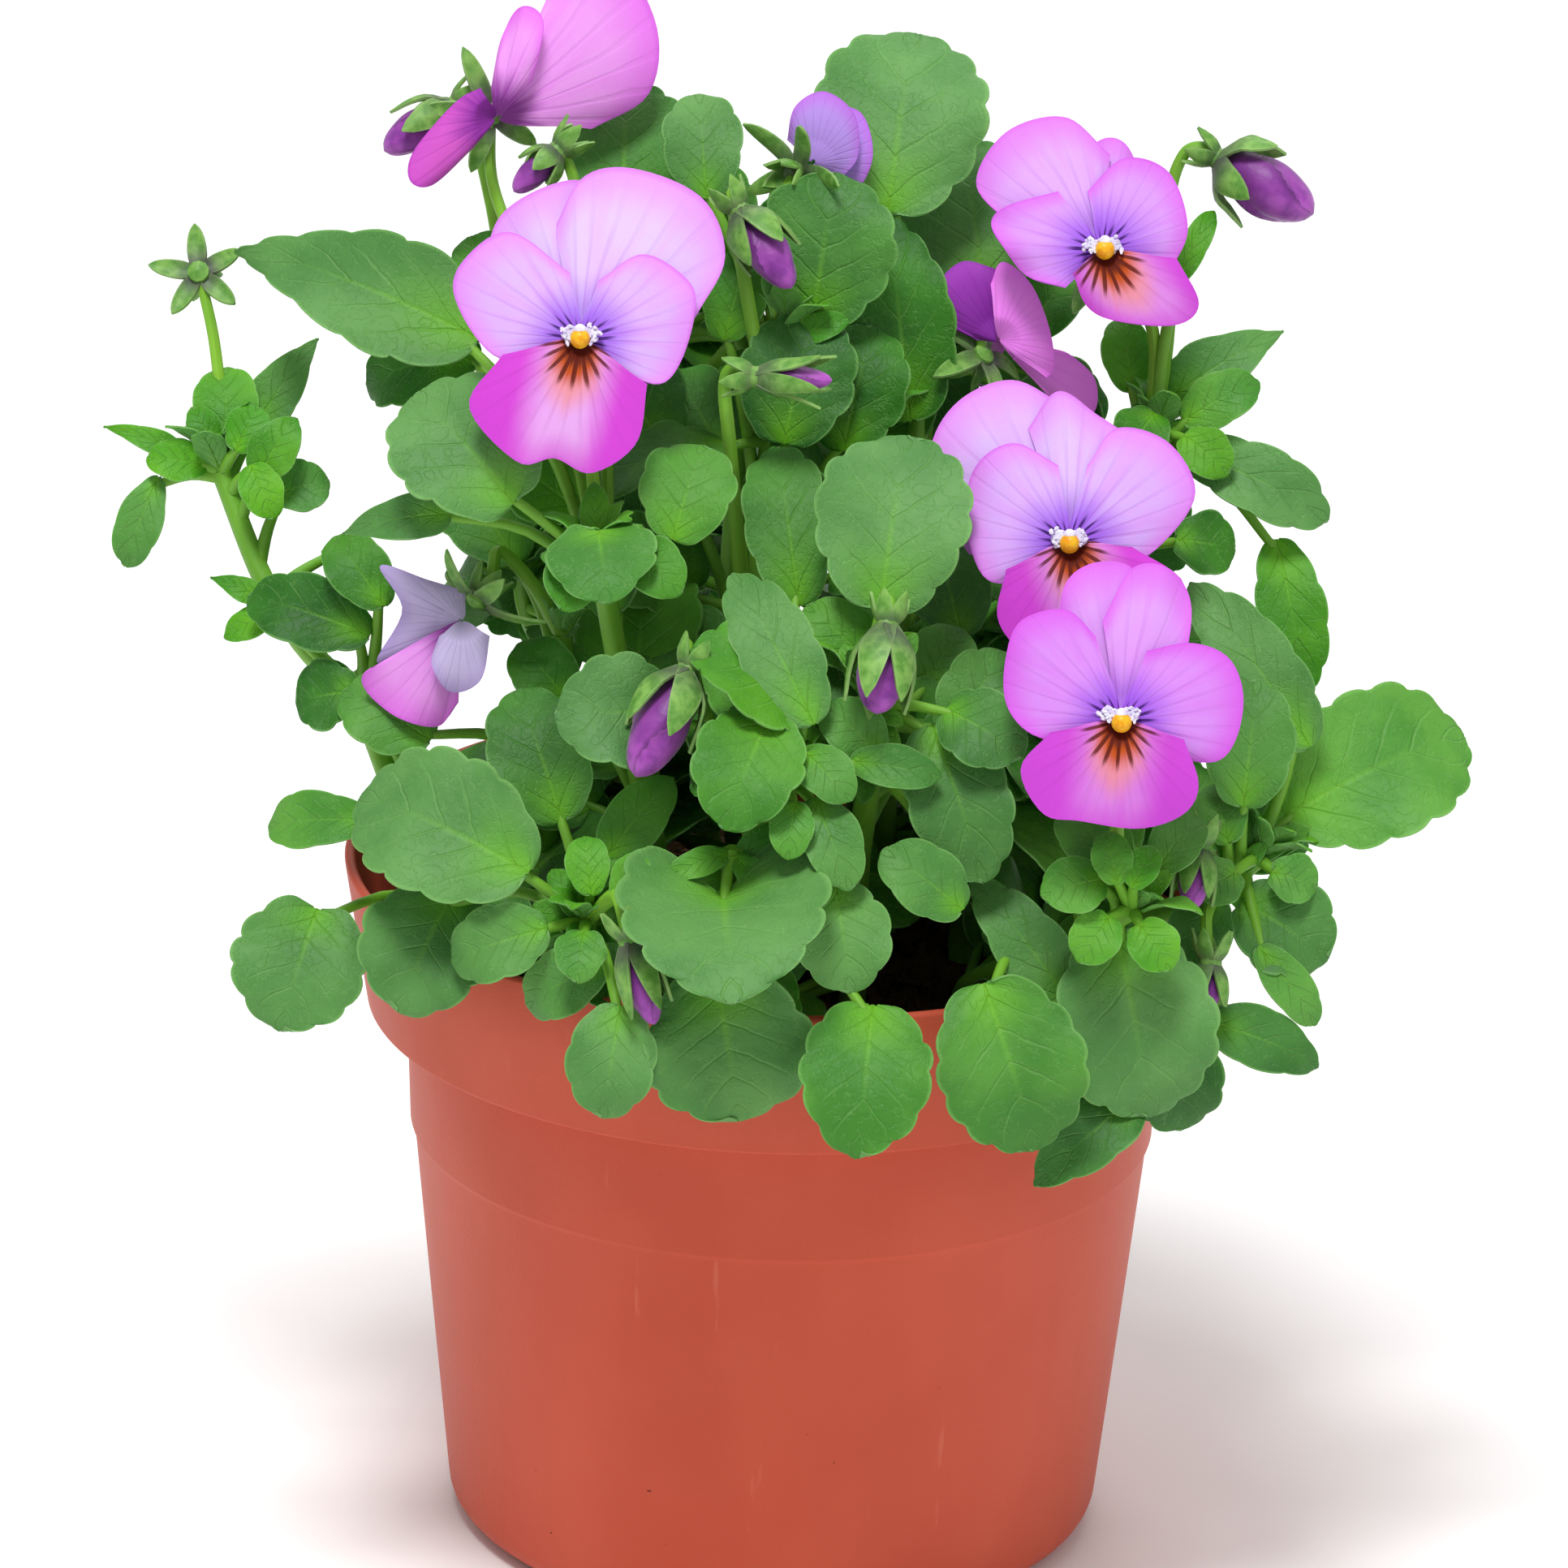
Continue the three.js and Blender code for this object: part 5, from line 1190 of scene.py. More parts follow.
def make_stem(name, stem, blooms, carried, screens, seed):
    rng = np.random.default_rng(seed)
    turn = stem.get("turn", 0)
    node = f"stem_{name}"
    tree = tree_of(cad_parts[node])
    x, y = stem["root"]
    heights = [SOIL_TOP - HOLE_DEPTH + CAD_GAP, SOIL_TOP + 1, SOIL_TOP + 6]
    curve = Curve([[x, y, z] for z in heights] + [seen(place, turn) for place in stem["path"]])
    shape = Shape()
    line = curve.line(40)
    add_tube(shape, line, np.linspace(*STEM_RADII, len(line)), "stalk", [0.45, 0.45, 0],
             sides=14, ridge=0.06)
    for (where, places), top in zip(stem["stalks"], carried):
        add_stalk(shape, curve.at(where), places, top, blooms, stem.get("stalk_turn", turn), rng)
    facing = seen_way([0, 0.25, 1], turn)
    for i, row in enumerate(stem["leaves"]):
        found = leaf_bend(tree, row, turn, facing)
        tone = TONES.get((name, i)) or leaf_tone(row, rng)
        if found is None:
            continue
        tuck = seen_way([0, 0, 1], turn) * TUCKED.get((name, i), 0)
        low, high = (place - tuck for place in found)
        start = curve.at(row[0] - LEAF_STAGGER * (1 + i))
        form = form_of(row)
        if (name, i) in HEARTS:
            form = "heart"
            low = low + HEART_SHIFT * (high - low)
        add_leaf(shape, low, high, row[3], form, facing, rng, tone)
        add_petiole(shape, start, low, high)
        reach = np.linalg.norm(low - start)
        if reach > 5 and row[3] > 8:
            add_stipules(shape, start, unit(low - start), facing, 5 + 0.2 * row[3], rng)
    for row in SMALL_LEAVES.get(name, []):
        low, high = seen(row[1], turn), seen(row[2], turn)
        tone = leaf_tone(row, rng)
        tone[0] = min(1, tone[0] + FRESH.get(name, 0))
        add_leaf(shape, low, high, row[3], form_of(row), facing, rng, tone)
        add_petiole(shape, curve.at(row[0]), low, high)
    if name not in SHOOTLESS:
        crown_shoots(shape, curve, rng)
    inner_leaves(shape, curve, screens, rng)
    shape.build(f"{node}_leafy", node)


def tree_of(*nodes):
    points, faces = [], []
    for node in nodes:
        first = len(points)
        points += [vertex.co for vertex in node.data.vertices]
        faces += [[first + i for i in face.vertices] for face in node.data.polygons]
    return BVHTree.FromPolygons(points, faces)


def make_screens():
    """What the leaves inside the plant stand behind, and what they keep clear of."""
    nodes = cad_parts
    petals = [node for name, node in nodes.items() if name.startswith(("bloom_", "bud_"))]
    green = [node for name, node in nodes.items() if name.startswith("stem_")]
    return {"all": tree_of(*petals, *green), "blooms": tree_of(*petals)}


# ---- Pot and compost ----

def lathe_rings(profile, sides):
    angles = ring_angles(sides)
    return np.array([np.stack([r * np.cos(angles), r * np.sin(angles), np.full(sides, z)], axis=1)
                     for r, z in profile])


def arc(centre, radius, first, last, steps):
    """Points of a rounding in the profile's plane, angles in degrees."""
    return [[centre[0] + radius * math.cos(math.radians(a)),
             centre[1] + radius * math.sin(math.radians(a))]
            for a in np.linspace(first, last, steps)]


def make_pot():
    foot = arc([FOOT_RADIUS - FOOT_ROUNDING, FOOT_ROUNDING], FOOT_ROUNDING, -90, -2, 9)
    band_foot = arc([RIM_FOOT_RADIUS - 0.5, BAND_FOOT + 0.5], 0.5, -90, 0, 5)
    lip = arc([RIM_RADIUS - 0.75, POT_HEIGHT - 0.75], 0.75, 5, 175, 9)
    outside = [[0.5, 1.0], [FOOT_RADIUS - 9, 1.0], [FOOT_RADIUS - 7.5, 0.05], *foot,
               [(FOOT_RADIUS + STEP_LOWER_RADIUS) / 2, 30], [STEP_LOWER_RADIUS, STEP_HEIGHT - 0.5],
               [STEP_LOWER_RADIUS + 0.15, STEP_HEIGHT - 0.2],
               [STEP_UPPER_RADIUS - 0.1, STEP_HEIGHT + 0.2], [STEP_UPPER_RADIUS, STEP_HEIGHT + 0.5],
               [BODY_TOP_RADIUS, BAND_FOOT - 0.4], [BODY_TOP_RADIUS + 0.4, BAND_FOOT], *band_foot,
               [(RIM_FOOT_RADIUS + RIM_RADIUS) / 2, 84.5], *lip]
    ledge = BAND_FOOT + WALL
    inside = [[RIM_FOOT_RADIUS - WALL, ledge + 0.4], [RIM_FOOT_RADIUS - WALL - 0.4, ledge],
              [BODY_TOP_RADIUS - WALL, ledge - 0.4], [STEP_LOWER_RADIUS - WALL, STEP_HEIGHT - 0.3],
              [FOOT_RADIUS - WALL, FOOT_ROUNDING + 1], [FOOT_RADIUS - WALL - 3, FLOOR_TOP],
              [0.5, FLOOR_TOP]]
    rings = lathe_rings(outside + inside, POT_SIDES)
    shape = Shape()
    add_rings(shape, rings, "plastic", np.zeros(rings.shape), [0, 0, 0])
    piece = shape.build("pot_moulded", "pot", sharp=40)
    cutters = Shape()
    for i in range(DRAIN_HOLES):
        angle = 2 * math.pi * (i + 0.5) / DRAIN_HOLES
        x, y = DRAIN_CIRCLE * math.cos(angle), DRAIN_CIRCLE * math.sin(angle)
        post = lathe_rings([[DRAIN_RADIUS, -1], [DRAIN_RADIUS, FLOOR_TOP + 1]], 24) + [x, y, 0]
        add_rings(cutters, post, "plastic", np.zeros(post.shape), [0, 0, 0])
    cut(piece, cutters)


def cut(piece, cutters):
    """Takes closed bodies out of a piece, and leaves it as plain mesh."""
    tool = new_object("cutters", (np.concatenate(cutters.points) * MM).tolist(), cutters.faces)
    boolean = piece.modifiers.new("holes", "BOOLEAN")
    boolean.operation, boolean.solver, boolean.object = "DIFFERENCE", "EXACT", tool
    bpy.context.view_layer.update()
    graph = bpy.context.evaluated_depsgraph_get()
    plain = bpy.data.meshes.new_from_object(piece.evaluated_get(graph))
    piece.modifiers.clear()
    piece.data = plain
    bpy.data.objects.remove(tool)


def lumps(x, y, phase):
    """The height of the compost's top over its level, in mm."""
    height = 0
    for size, amount in ((0.09, 1.3), (0.21, 0.8), (0.47, 0.5), (1.1, 0.35), (2.3, 0.2)):
        a, b = phase[0] + 3 * size, phase[1] - 2 * size
        height = height + amount * (np.sin(size * x * 1.3 + a + 1.7 * np.sin(size * y * 0.9 + b))
                                    * np.cos(size * y * 1.1 + b + 1.3 * np.sin(size * x * 0.8 + a)))
    return height


def make_soil():
    rng = np.random.default_rng(SOIL_SEED)
    phase = rng.uniform(0, 6, 2)
    ledge = BAND_FOOT + WALL + CAD_GAP
    low = [[0.5, FLOOR_TOP + CAD_GAP], [FOOT_RADIUS - WALL - 3.3, FLOOR_TOP + CAD_GAP],
           [FOOT_RADIUS - WALL - CAD_GAP, FOOT_ROUNDING + 1.2],
           [STEP_LOWER_RADIUS - WALL - CAD_GAP, STEP_HEIGHT],
           [BODY_TOP_RADIUS - WALL - CAD_GAP, ledge], [RIM_FOOT_RADIUS - WALL - CAD_GAP, ledge],
           [SOIL_EDGE - 0.3, SOIL_TOP - 1.5]]
    top = [[r, SOIL_TOP] for r in np.linspace(SOIL_EDGE - 0.6, 0.5, 110)]
    rings = lathe_rings(low + top, 260)
    field = rings[len(low):]
    edge = np.clip((SOIL_EDGE - np.hypot(field[..., 0], field[..., 1])) / 3, 0.15, 1)
    field[..., 2] += lumps(field[..., 0], field[..., 1], phase) * edge - 0.4
    shape = Shape()
    add_rings(shape, rings, "peat", np.zeros(rings.shape), [0.5, 0.5, 0])
    for _ in range(CRUMBS):
        r, a = (SOIL_EDGE - 2) * math.sqrt(rng.uniform()), rng.uniform(0, 2 * math.pi)
        x, y = r * math.cos(a), r * math.sin(a)
        z = SOIL_TOP + lumps(x, y, phase) - 0.2
        add_crumb(shape, np.array([x, y, z]), rng.uniform(0.4, 1.5) ** 1.2, rng)
    for _ in range(FIBRES):
        r, a = (SOIL_EDGE - 6) * math.sqrt(rng.uniform()), rng.uniform(0, 2 * math.pi)
        x, y = r * math.cos(a), r * math.sin(a)
        way, length = rng.uniform(0, 2 * math.pi), rng.uniform(3, 9)
        line = [[x + length * h * math.cos(way + h), y + length * h * math.sin(way + h),
                 SOIL_TOP + lumps(x, y, phase) + 0.3 + rng.uniform(-0.3, 0.6)] for h in (0, 0.5, 1)]
        add_tube(shape, line, rng.uniform(0.15, 0.35), "peat", [rng.uniform(0.7, 1), 1, 0], sides=5)
    shape.build("compost", "soil", sharp=180)


def add_crumb(shape, place, radius, rng):
    """One irregular crumb of compost."""
    sides = 7
    angles = ring_angles(sides)
    stretch = rng.uniform(0.6, 1.3, 3)
    rings = []
    for h in np.linspace(0.15, math.pi - 0.15, 5):
        r = radius * math.sin(h) * rng.uniform(0.75, 1.2, sides)
        rings.append(np.stack([r * np.cos(angles), r * np.sin(angles),
                               np.full(sides, -radius * math.cos(h))], axis=1))
    turn = Matrix.Rotation(rng.uniform(0, 6), 3, Vector(rng.normal(0, 1, 3)).normalized())
    rings = (np.array(rings) * stretch) @ np.array(turn).T + place
    light = rng.uniform(0, 1) ** 3
    add_rings(shape, rings, "peat", np.zeros(rings.shape), [light, rng.uniform(0, 1), 0])


# ---- Materials ----

def rgb(red, green, blue):
    """A colour given as it looks on a screen, 0 to 255, as Blender's linear values."""
    def linear(value):
        value /= 255
        return value / 12.92 if value <= 0.04045 else ((value + 0.055) / 1.055) ** 2.4
    return (linear(red), linear(green), linear(blue), 1)


class Paint:
    """A node material in the making. A colour is a socket, or a tuple as it looks on a screen."""

    def __init__(self, name, **fixed):
        self.material = bpy.data.materials.new(name)
        self.material.use_nodes = True
        self.tree = self.material.node_tree
        self.shader = self.tree.nodes["Principled BSDF"]
        for label, value in fixed.items():
            self.shader.inputs[label.replace("_", " ")].default_value = value
        self.seats = self.node("TexCoord").outputs["Object"]

    def put(self, socket, value):
        if isinstance(value, bpy.types.NodeSocket):
            self.tree.links.new(value, socket)
        else:
            socket.default_value = value

    def node(self, kind, *values, **settings):
        node = self.tree.nodes.new("ShaderNode" + kind)
        for label, value in settings.items():
            setattr(node, label, value)
        for socket, value in zip(node.inputs, values):
            if value is not None:
                self.put(socket, value)
        return node

    def sum(self, operation, *values):
        return self.node("Math", *values, operation=operation).outputs[0]

    def times(self, value, factor, plus=None):
        if plus is None:
            return self.sum("MULTIPLY", value, factor)
        return self.sum("MULTIPLY_ADD", value, factor, plus)

    def size(self, value):
        return self.sum("ABSOLUTE", value)

    def smooth(self, value, low, high):
        node = self.node("MapRange", value, low, high, 0.0, 1.0)
        node.interpolation_type = "SMOOTHSTEP"
        return node.outputs[0]

    def mix(self, share, a, b):
        node = self.tree.nodes.new("ShaderNodeMix")
        node.data_type = "RGBA"
        self.put(node.inputs[0], share)
        for i, colour in ((6, a), (7, b)):
            self.put(node.inputs[i], rgb(*colour) if isinstance(colour, tuple) else colour)
        return node.outputs[2]

    def lay(self, colour, over, share, amount):
        """A colour under another one: share says where that lies and amount how densely."""
        return self.mix(self.times(share, amount), colour, over)

    def noise(self, scale, detail=2.0, seats=None, stretch=None):
        seats = seats or self.seats
        if stretch:
            seats = self.node("Mapping", seats, None, None, stretch).outputs[0]
        node = self.node("TexNoise", seats)
        node.inputs["Scale"].default_value = scale
        node.inputs["Detail"].default_value = detail
        return node.outputs[0]

    def read(self, label):
        vector = self.node("Attribute", attribute_name=label).outputs["Vector"]
        return self.node("SeparateXYZ", vector).outputs[:3]

    def bump(self, height, distance, strength):
        node = self.node("Bump")
        node.inputs["Strength"].default_value = strength
        node.inputs["Distance"].default_value = distance
        self.put(node.inputs["Height"], height)
        self.put(self.shader.inputs["Normal"], node.outputs[0])

    def finish(self, colour, roughness=None):
        self.put(self.shader.inputs["Base Color"], colour)
        if roughness is not None:
            self.put(self.shader.inputs["Roughness"], roughness)
        return self.material


def leaf_paint():
    p = Paint("leaf", Subsurface_Weight=0.1, Subsurface_Scale=0.002,
              Subsurface_Radius=(0.3, 1.0, 0.15), Specular_IOR_Level=0.3)
    s, t, _ = p.read("spot")
    young, pale, top = p.read("tone")
    side = p.size(s)
    broad, fine = p.noise(85, 3.0), p.noise(1400)
    # the veins that leave the midrib, the midrib itself and the net between them
    place = p.times(p.times(side, -0.36, plus=p.times(p.noise(260), 0.06, plus=t)), 5.0)
    lateral = p.size(p.sum("SUBTRACT", p.sum("FRACT", place), 0.5))
    lateral = p.times(p.smooth(lateral, 0.08, 0.0), p.smooth(side, 0.9, 0.2))
    rib = p.times(p.smooth(side, 0.07, 0.0), p.smooth(t, 0.85, 0.1))
    net = p.smooth(p.size(p.sum("SUBTRACT", p.noise(520, 3.0), 0.5)), 0.035, 0.0)
    # pale, read from the tone, carries painted light and shade as well as the leaves' own paleness:
    # it lightens or darkens the whole blade.
    deep = p.mix(pale, (22, 82, 12), (82, 134, 70))
    light = p.mix(pale, (46, 116, 20), (104, 154, 88))
    fresh = p.mix(p.smooth(broad, 0.35, 0.65), (68, 148, 14), (100, 172, 28))
    colour = p.mix(young, p.mix(p.smooth(broad, 0.3, 0.7), deep, light), fresh)
    glow = p.times(p.smooth(t, 0.42, 0.0), p.smooth(side, 0.95, 0.0))
    under = p.sum("SUBTRACT", 1.0, top)
    for over, share, amount in (
            ((130, 186, 100), net, 0.12), ((130, 190, 96), lateral, 0.22),
            ((126, 194, 62), rib, 0.4), ((110, 184, 26), glow, 0.75),
            ((136, 190, 104), p.smooth(side, 0.93, 1.0), 0.4), ((118, 166, 104), under, 0.45)):
        colour = p.lay(colour, over, share, amount)
    relief = p.times(lateral, -0.7, plus=p.times(fine, 0.5))
    relief = p.times(net, -0.25, plus=p.times(rib, -0.5, plus=relief))
    p.bump(relief, 0.0003, 0.7)
    return p.finish(colour, p.times(broad, 0.2, plus=0.45))


def stalk_paint():
    p = Paint("stalk", Subsurface_Weight=0.1, Subsurface_Scale=0.001,
              Subsurface_Radius=(0.4, 1.0, 0.2), Specular_IOR_Level=0.4)
    young, pale, _ = p.read("tone")
    broad = p.noise(120, 3.0)
    colour = p.mix(young, (76, 146, 32), (140, 196, 50))
    colour = p.lay(colour, (70, 140, 34), p.smooth(broad, 0.3, 0.75), 0.35)
    colour = p.lay(colour, (150, 202, 84), pale, 0.2)
    p.bump(p.noise(900, stretch=(1, 1, 0.12)), 0.0002, 0.6)
    return p.finish(colour, p.times(broad, 0.2, plus=0.4))


def sepal_paint():
    p = Paint("sepal", Subsurface_Weight=0.08, Subsurface_Scale=0.001,
              Subsurface_Radius=(0.4, 1.0, 0.2), Specular_IOR_Level=0.35)
    s, t, _ = p.read("spot")
    dark, _, _ = p.read("tone")
    streaks = p.noise(700, 3.0)
    colour = p.mix(p.smooth(streaks, 0.3, 0.7), (86, 142, 52), (128, 176, 82))
    colour = p.lay(colour, (150, 186, 112), p.smooth(p.size(s), 0.75, 1.0), 0.5)
    colour = p.lay(colour, (74, 60, 78), p.smooth(t, 0.6, 0.1), p.times(dark, 0.9, plus=0.4))
    p.bump(streaks, 0.0002, 0.6)
    return p.finish(colour, 0.5)


def petal_paint(kind, heart, field, edge, deep_edge, whisker, lines, reach, haze):
    """A petal's colours from its heart to its edge, with dark lines that run out from the eye."""
    p = Paint(f"petal_{kind}", Subsurface_Weight=0.06, Subsurface_Scale=0.001,
              Subsurface_Radius=(1.0, 0.5, 1.0), Specular_IOR_Level=0.12)
    lower = kind == "lower"
    across, along, share = p.read("spot")
    depth, chance, top = p.read("tone")
    away = p.sum("SQRT", p.sum("ADD", p.times(across, across), p.times(along, along)))
    angle = p.sum("ARCTAN2", across, along)
    soft = p.noise(110)
    fan = p.node("CombineXYZ", p.times(angle, 7.0), p.times(away, 0.07), p.times(chance, 40.0))
    streaks = p.noise(1.0, 4.0, seats=fan.outputs[0])
    warped = p.times(streaks, 0.12, plus=angle)
    veins = p.smooth(p.sum("COSINE", p.times(warped, 34.0)), 0.6, 1.0)
    rim = p.mix(depth, edge, deep_edge)
    middle = p.lay(field, deep_edge, depth, 0.62)
    if lower:
        colour = p.mix(p.smooth(p.size(across), 2.0, 7.5), middle, rim)
        colour = p.lay(colour, rim, p.smooth(share, 0.72, 1.0), 0.6)
    else:
        colour = p.mix(p.smooth(share, 0.7, 1.0), middle, rim)
    flush = p.smooth(p.times(streaks, -4.0, plus=away), reach + 3.0, 0.5)
    fade = p.times(veins, p.smooth(share, 1.0, 0.3))
    for over, part, amount in (
            (rim, p.smooth(streaks, 0.4, 0.75), 0.35), (rim, p.smooth(soft, 0.35, 0.7), 0.15),
            (deep_edge, p.smooth(share, 0.955, 1.0), 0.5), (heart, flush, haze),
            (p.mix(0.5, deep_edge, whisker), fade, 0.22)):
        colour = p.lay(colour, over, part, amount)
    if lines:
        width = p.size(angle)
        length = p.times(streaks, -3.0, plus=away)
        length = p.sum("ADD", length, p.times(width, 1.2 if lower else 2.4))
        if lower:  # the orange of the eye, which is dark at its heart, and the peach round it
            narrow, wide = p.times(width, 5.0, plus=length), p.times(width, 1.6, plus=length)
            peach = p.smooth(narrow, reach + 4.5, reach - 0.5)
            colour = p.lay(colour, (226, 140, 128), peach, 0.75)
            colour = p.mix(p.smooth(wide, reach, reach - 3.0), colour, (186, 78, 24))
            colour = p.mix(p.smooth(length, 3.2, 1.4), colour, (92, 26, 4))
        rays = p.times(length, -1.6 / reach, plus=p.sum("COSINE", p.times(warped, lines)))
        mask = p.times(p.smooth(length, reach, reach - 2.0), 0.9)
        colour = p.lay(colour, whisker, p.smooth(rays, -0.9, -0.3), mask)
    colour = p.lay(colour, p.mix(0.5, edge, field), p.sum("SUBTRACT", 1.0, top), 0.3)
    p.bump(p.times(veins, -0.5, plus=p.times(p.noise(1500), 0.3)), 0.00012, 0.6)
    return p.finish(colour, p.times(soft, 0.15, plus=0.55))


def bud_paint():
    p = Paint("bud_petal", Subsurface_Weight=0.08, Subsurface_Scale=0.001,
              Subsurface_Radius=(1.0, 0.4, 1.0), Sheen_Weight=0.2, Specular_IOR_Level=0.35)
    s, t, _ = p.read("spot")
    streaks = p.noise(380, 3.0)
    colour = p.mix(t, (84, 26, 100), (178, 82, 190))
    colour = p.mix(p.smooth(streaks, 0.35, 0.7), colour, (122, 42, 140))
    colour = p.lay(colour, (54, 12, 66), p.smooth(s, 0.82, 1.0), 0.6)
    p.bump(streaks, 0.0003, 0.7)
    return p.finish(colour, 0.45)


def plastic_paint():
    p = Paint("terracotta_plastic", Specular_IOR_Level=0.18)
    clouds = p.noise(22, 4.0)
    flow = p.noise(60, 3.0, stretch=(1, 1, 0.25))
    scuffs = p.smooth(p.noise(300, 5.0, stretch=(1, 1, 0.12)), 0.66, 0.74)
    low = p.smooth(p.node("SeparateXYZ", p.seats).outputs[2], 0.05, 0.004)
    specks = p.smooth(p.noise(520, 3.0), 0.745, 0.76)
    colour = p.mix(p.smooth(clouds, 0.3, 0.7), (194, 80, 56), (204, 90, 66))
    colour = p.lay(colour, (184, 70, 48), p.smooth(flow, 0.35, 0.75), 0.25)
    colour = p.lay(colour, (226, 136, 112), scuffs, 0.25)
    colour = p.lay(colour, (96, 34, 24), specks, low)
    p.bump(p.times(scuffs, 0.4, plus=p.times(p.noise(1600), 0.5)), 0.0002, 0.5)
    return p.finish(colour, p.times(scuffs, 0.15, plus=p.times(flow, 0.12, plus=0.42)))


def peat_paint():
    p = Paint("peat", Specular_IOR_Level=0.2)
    light, _, _ = p.read("tone")
    coarse, fine = p.noise(160, 5.0), p.noise(900, 4.0)
    colour = p.mix(p.smooth(coarse, 0.3, 0.7), (34, 22, 16), (74, 52, 38))
    colour = p.lay(colour, (140, 106, 76), light, 0.6)
    colour = p.lay(colour, (98, 70, 48), p.smooth(fine, 0.55, 0.7), 0.5)
    p.bump(p.sum("ADD", coarse, fine), 0.0012, 0.9)
    return p.finish(colour, 0.92)


def small_paint(name, first, second, roughness):
    p = Paint(name, Subsurface_Weight=0.1, Subsurface_Scale=0.001, Specular_IOR_Level=0.3)
    grain = p.noise(900)
    p.bump(grain, 0.0002, 0.5)
    return p.finish(p.mix(p.smooth(grain, 0.35, 0.65), first, second), roughness)


# A petal's heart, field, edge, the edge of a deeply coloured bloom, and its lines. Then the
# number of its lines in a radian, their length in mm and the strength of the heart's colour.
PETALS = {
    "upper": [(140, 76, 222), (216, 190, 244), (220, 152, 236), (210, 92, 222), (48, 10, 92),
              0, 4.5, 0.5],
    "side": [(140, 76, 222), (210, 176, 242), (220, 144, 236), (204, 76, 218), (48, 10, 92),
             22.0, 4.2, 0.8],
    "lower": [(180, 70, 150), (222, 164, 228), (204, 66, 204), (194, 70, 204), (88, 20, 8),
              20.0, 6.2, 0.2],
    "pink": [(120, 26, 134), (242, 170, 244), (238, 134, 240), (206, 86, 216), (190, 100, 210),
             0, 2.5, 0.85],
    "rose": [(120, 34, 150), (222, 100, 204), (222, 96, 206), (160, 50, 180), (120, 30, 140),
             0, 2.5, 0.8],
    "purple": [(100, 24, 130), (150, 58, 172), (170, 74, 190), (140, 48, 166), (80, 14, 104),
               0, 5.0, 0.5],
    "lilac": [(176, 150, 232), (186, 158, 234), (192, 128, 228), (178, 84, 212), (130, 96, 196),
              0, 5.0, 0.4],
    "ash": [(200, 186, 226), (208, 198, 234), (190, 172, 222), (176, 150, 214), (140, 120, 190),
            0, 5.0, 0.4],
    # flare: the pink made brighter, painted light for petals that lie in shade.
    "flare": [(240, 130, 244), (250, 150, 250), (250, 136, 250), (234, 110, 240), (160, 60, 190),
              0, 2.5, 0.3],
}
PAINTS = {"plastic": plastic_paint(), "peat": peat_paint(), "leaf": leaf_paint(),
          "stalk": stalk_paint(), "sepal": sepal_paint(),
          **{kind: petal_paint(kind, *row) for kind, row in PETALS.items()},
          "bud": bud_paint(),
          "eye": small_paint("throat", (232, 150, 14), (244, 186, 34), 0.4),
          "tuft": small_paint("tuft", (222, 212, 240), (244, 238, 250), 0.6)}

# ---- The pieces ----

make_pot()
make_soil()
stems, blooms, carries = whole_layout()
screens = make_screens()
for number, (name, stem) in enumerate(stems.items()):
    make_stem(name, stem, blooms, carries.get(name, []), screens, STEM_SEED + number)

for number, (name, (bloom, turn, shift)) in enumerate(blooms.items()):
    rng = np.random.default_rng(BLOOM_SEED + number)
    shape = Shape()
    kinds = PETAL_KINDS.get(name, FACE)
    depth = BLOOM_DEPTHS.get(name, BLOOM_DEPTH)
    for (layer, outline), kind in zip(bloom["petals"], kinds):
        add_petal(shape, bloom, layer, outline, turn, shift, kind, depth, rng)
    if len(kinds) == len(FACE):
        add_throat(shape, bloom, turn, shift, rng)
    shape.build(f"{name}_petals", name)

for number, (name, (place, tip, radius)) in enumerate(BUDS.items()):
    shape = Shape()
    add_bud(shape, seen(place), seen(tip), radius, np.random.default_rng(BUD_SEED + number))
    shape.build(f"{name}_folded", name)

# ---- Floor, light and camera, in metres ----

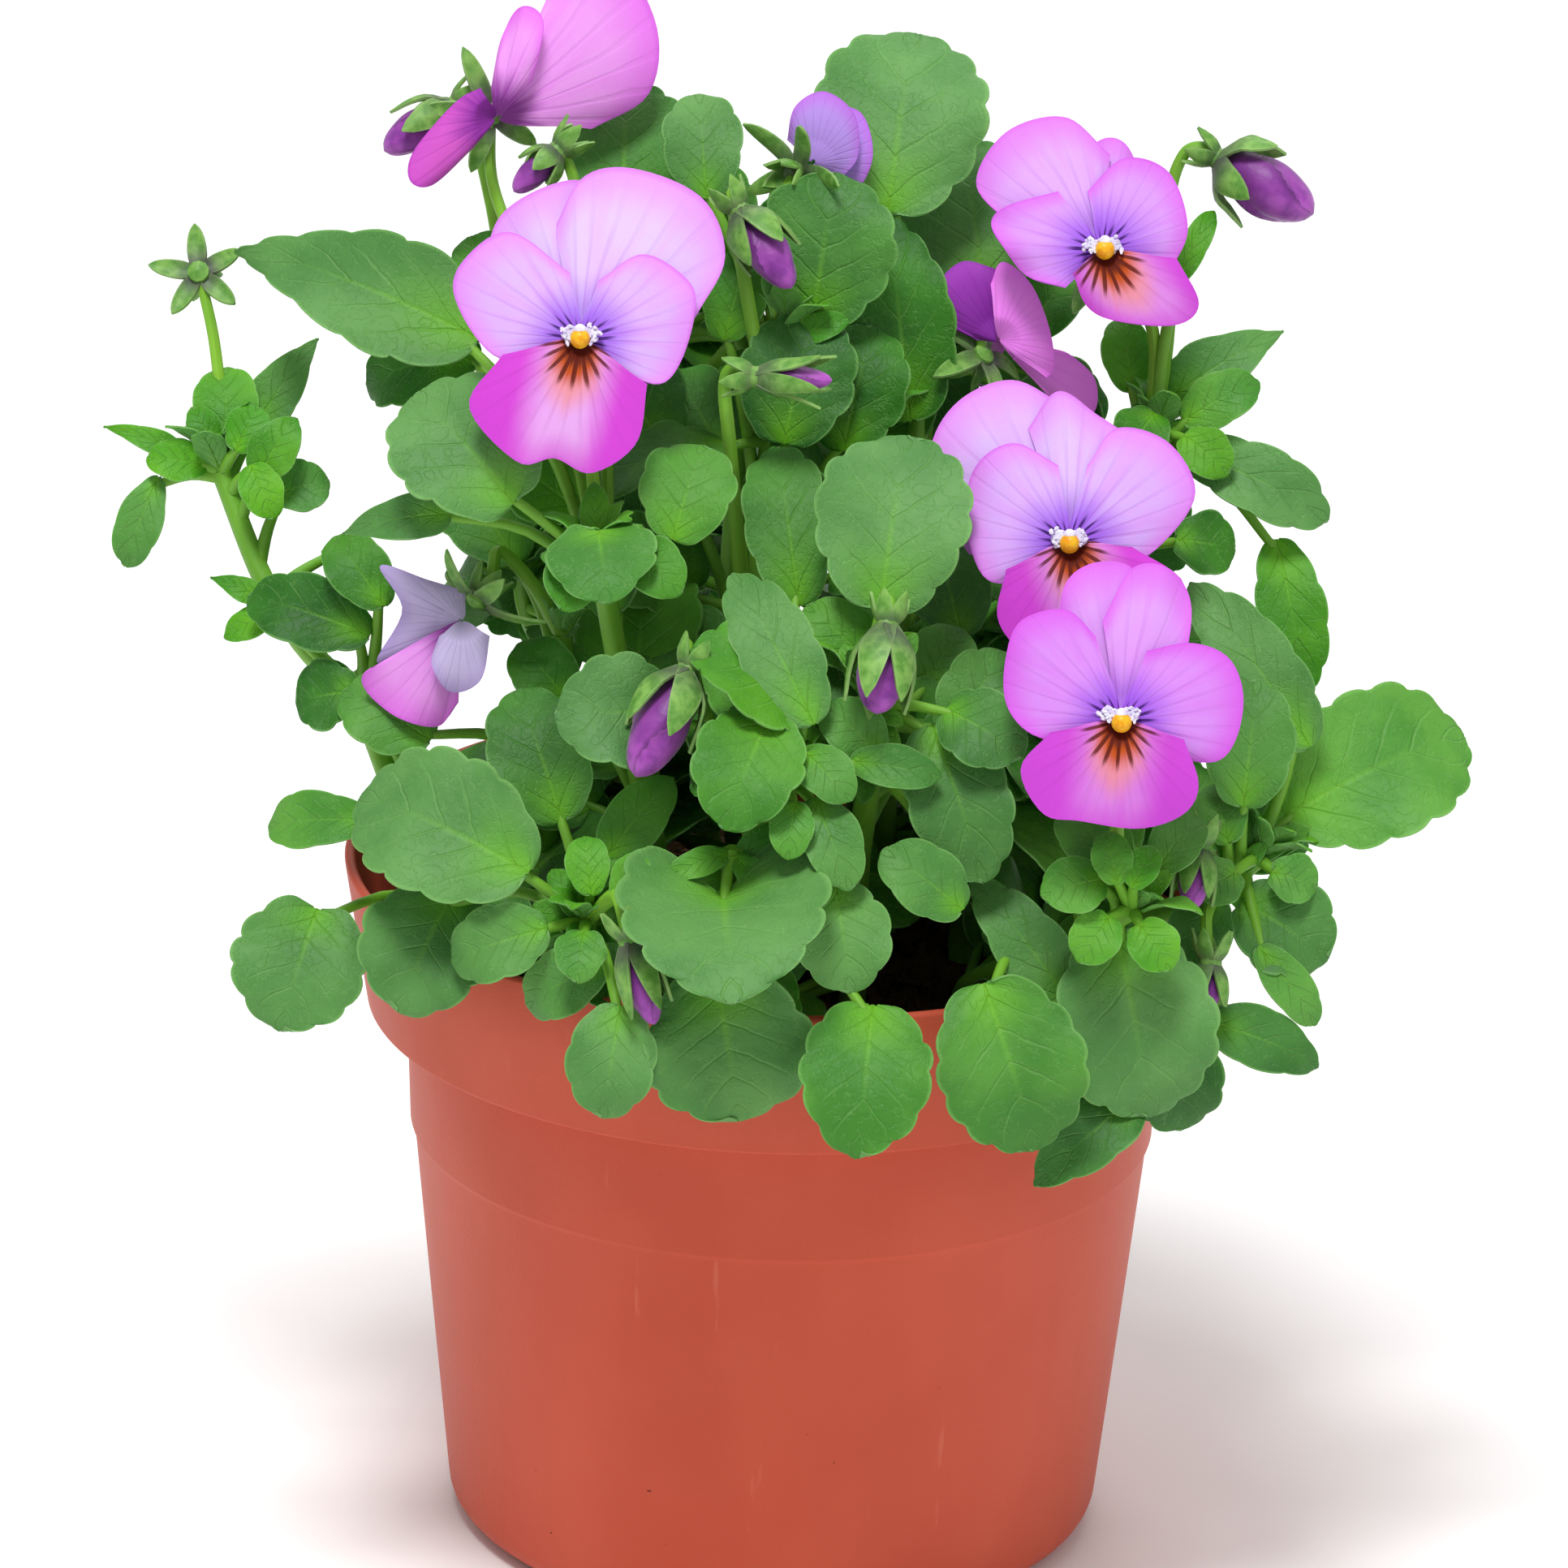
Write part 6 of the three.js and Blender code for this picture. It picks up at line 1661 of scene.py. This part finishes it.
FLOOR_REACH, FLOOR_LEVEL = 6.0, -0.0004
LIGHT_AIM = (0, 0, 0.1)
LIGHTS = {"key": [(-0.2, -0.62, 1.9), 0.6, 28], "fill": [(1.0, -1.2, 0.7), 1.2, 2.5],
          "back": [(0.1, 1.2, 1.4), 1.2, 8]}  # place, size and watts
WORLD_STRENGTH = 0.43


def make_floor():
    corners = [(-1, -1), (1, -1), (1, 1), (-1, 1)]
    floor = new_object("floor", [(x * FLOOR_REACH, y * FLOOR_REACH, FLOOR_LEVEL)
                                 for x, y in corners], [(0, 1, 2, 3)])
    p = Paint("floor", Roughness=0.9, Specular_IOR_Level=0.1)
    floor.data.materials.append(p.finish(p.mix(p.noise(3.0), (254, 254, 254), (251, 251, 251))))


def make_light(name, place, size, power):
    data = bpy.data.lights.new(name, "AREA")
    data.shape, data.size, data.energy = "DISK", size, power
    light = bpy.data.objects.new(name, data)
    light.location = place
    light.rotation_mode = "QUATERNION"
    light.rotation_quaternion = (Vector(LIGHT_AIM) - Vector(place)).to_track_quat("-Z", "Y")
    bpy.context.scene.collection.objects.link(light)


def make_world():
    world = bpy.data.worlds.new("studio")
    world.use_nodes = True
    background = world.node_tree.nodes["Background"]
    background.inputs["Color"].default_value = (1, 1, 1, 1)
    background.inputs["Strength"].default_value = WORLD_STRENGTH
    bpy.context.scene.world = world
    bpy.context.scene.view_settings.view_transform = "Standard"


def make_camera():
    data = bpy.data.cameras.new("camera")
    data.sensor_width = SENSOR
    data.lens = SENSOR * VIEW_DISTANCE / VIEW_WIDTH
    data.clip_start, data.clip_end = 0.05, 50
    camera = bpy.data.objects.new("camera", data)
    place = (VIEW_TARGET + NEAR * VIEW_DISTANCE) * MM
    turn = Matrix([[*row] for row in np.array([RIGHT, UP, NEAR]).T]).to_4x4()
    camera.matrix_world = Matrix.Translation(place) @ turn
    bpy.context.scene.collection.objects.link(camera)
    bpy.context.scene.camera = camera


make_floor()
for name, row in LIGHTS.items():
    make_light(name, *row)
make_world()
make_camera()
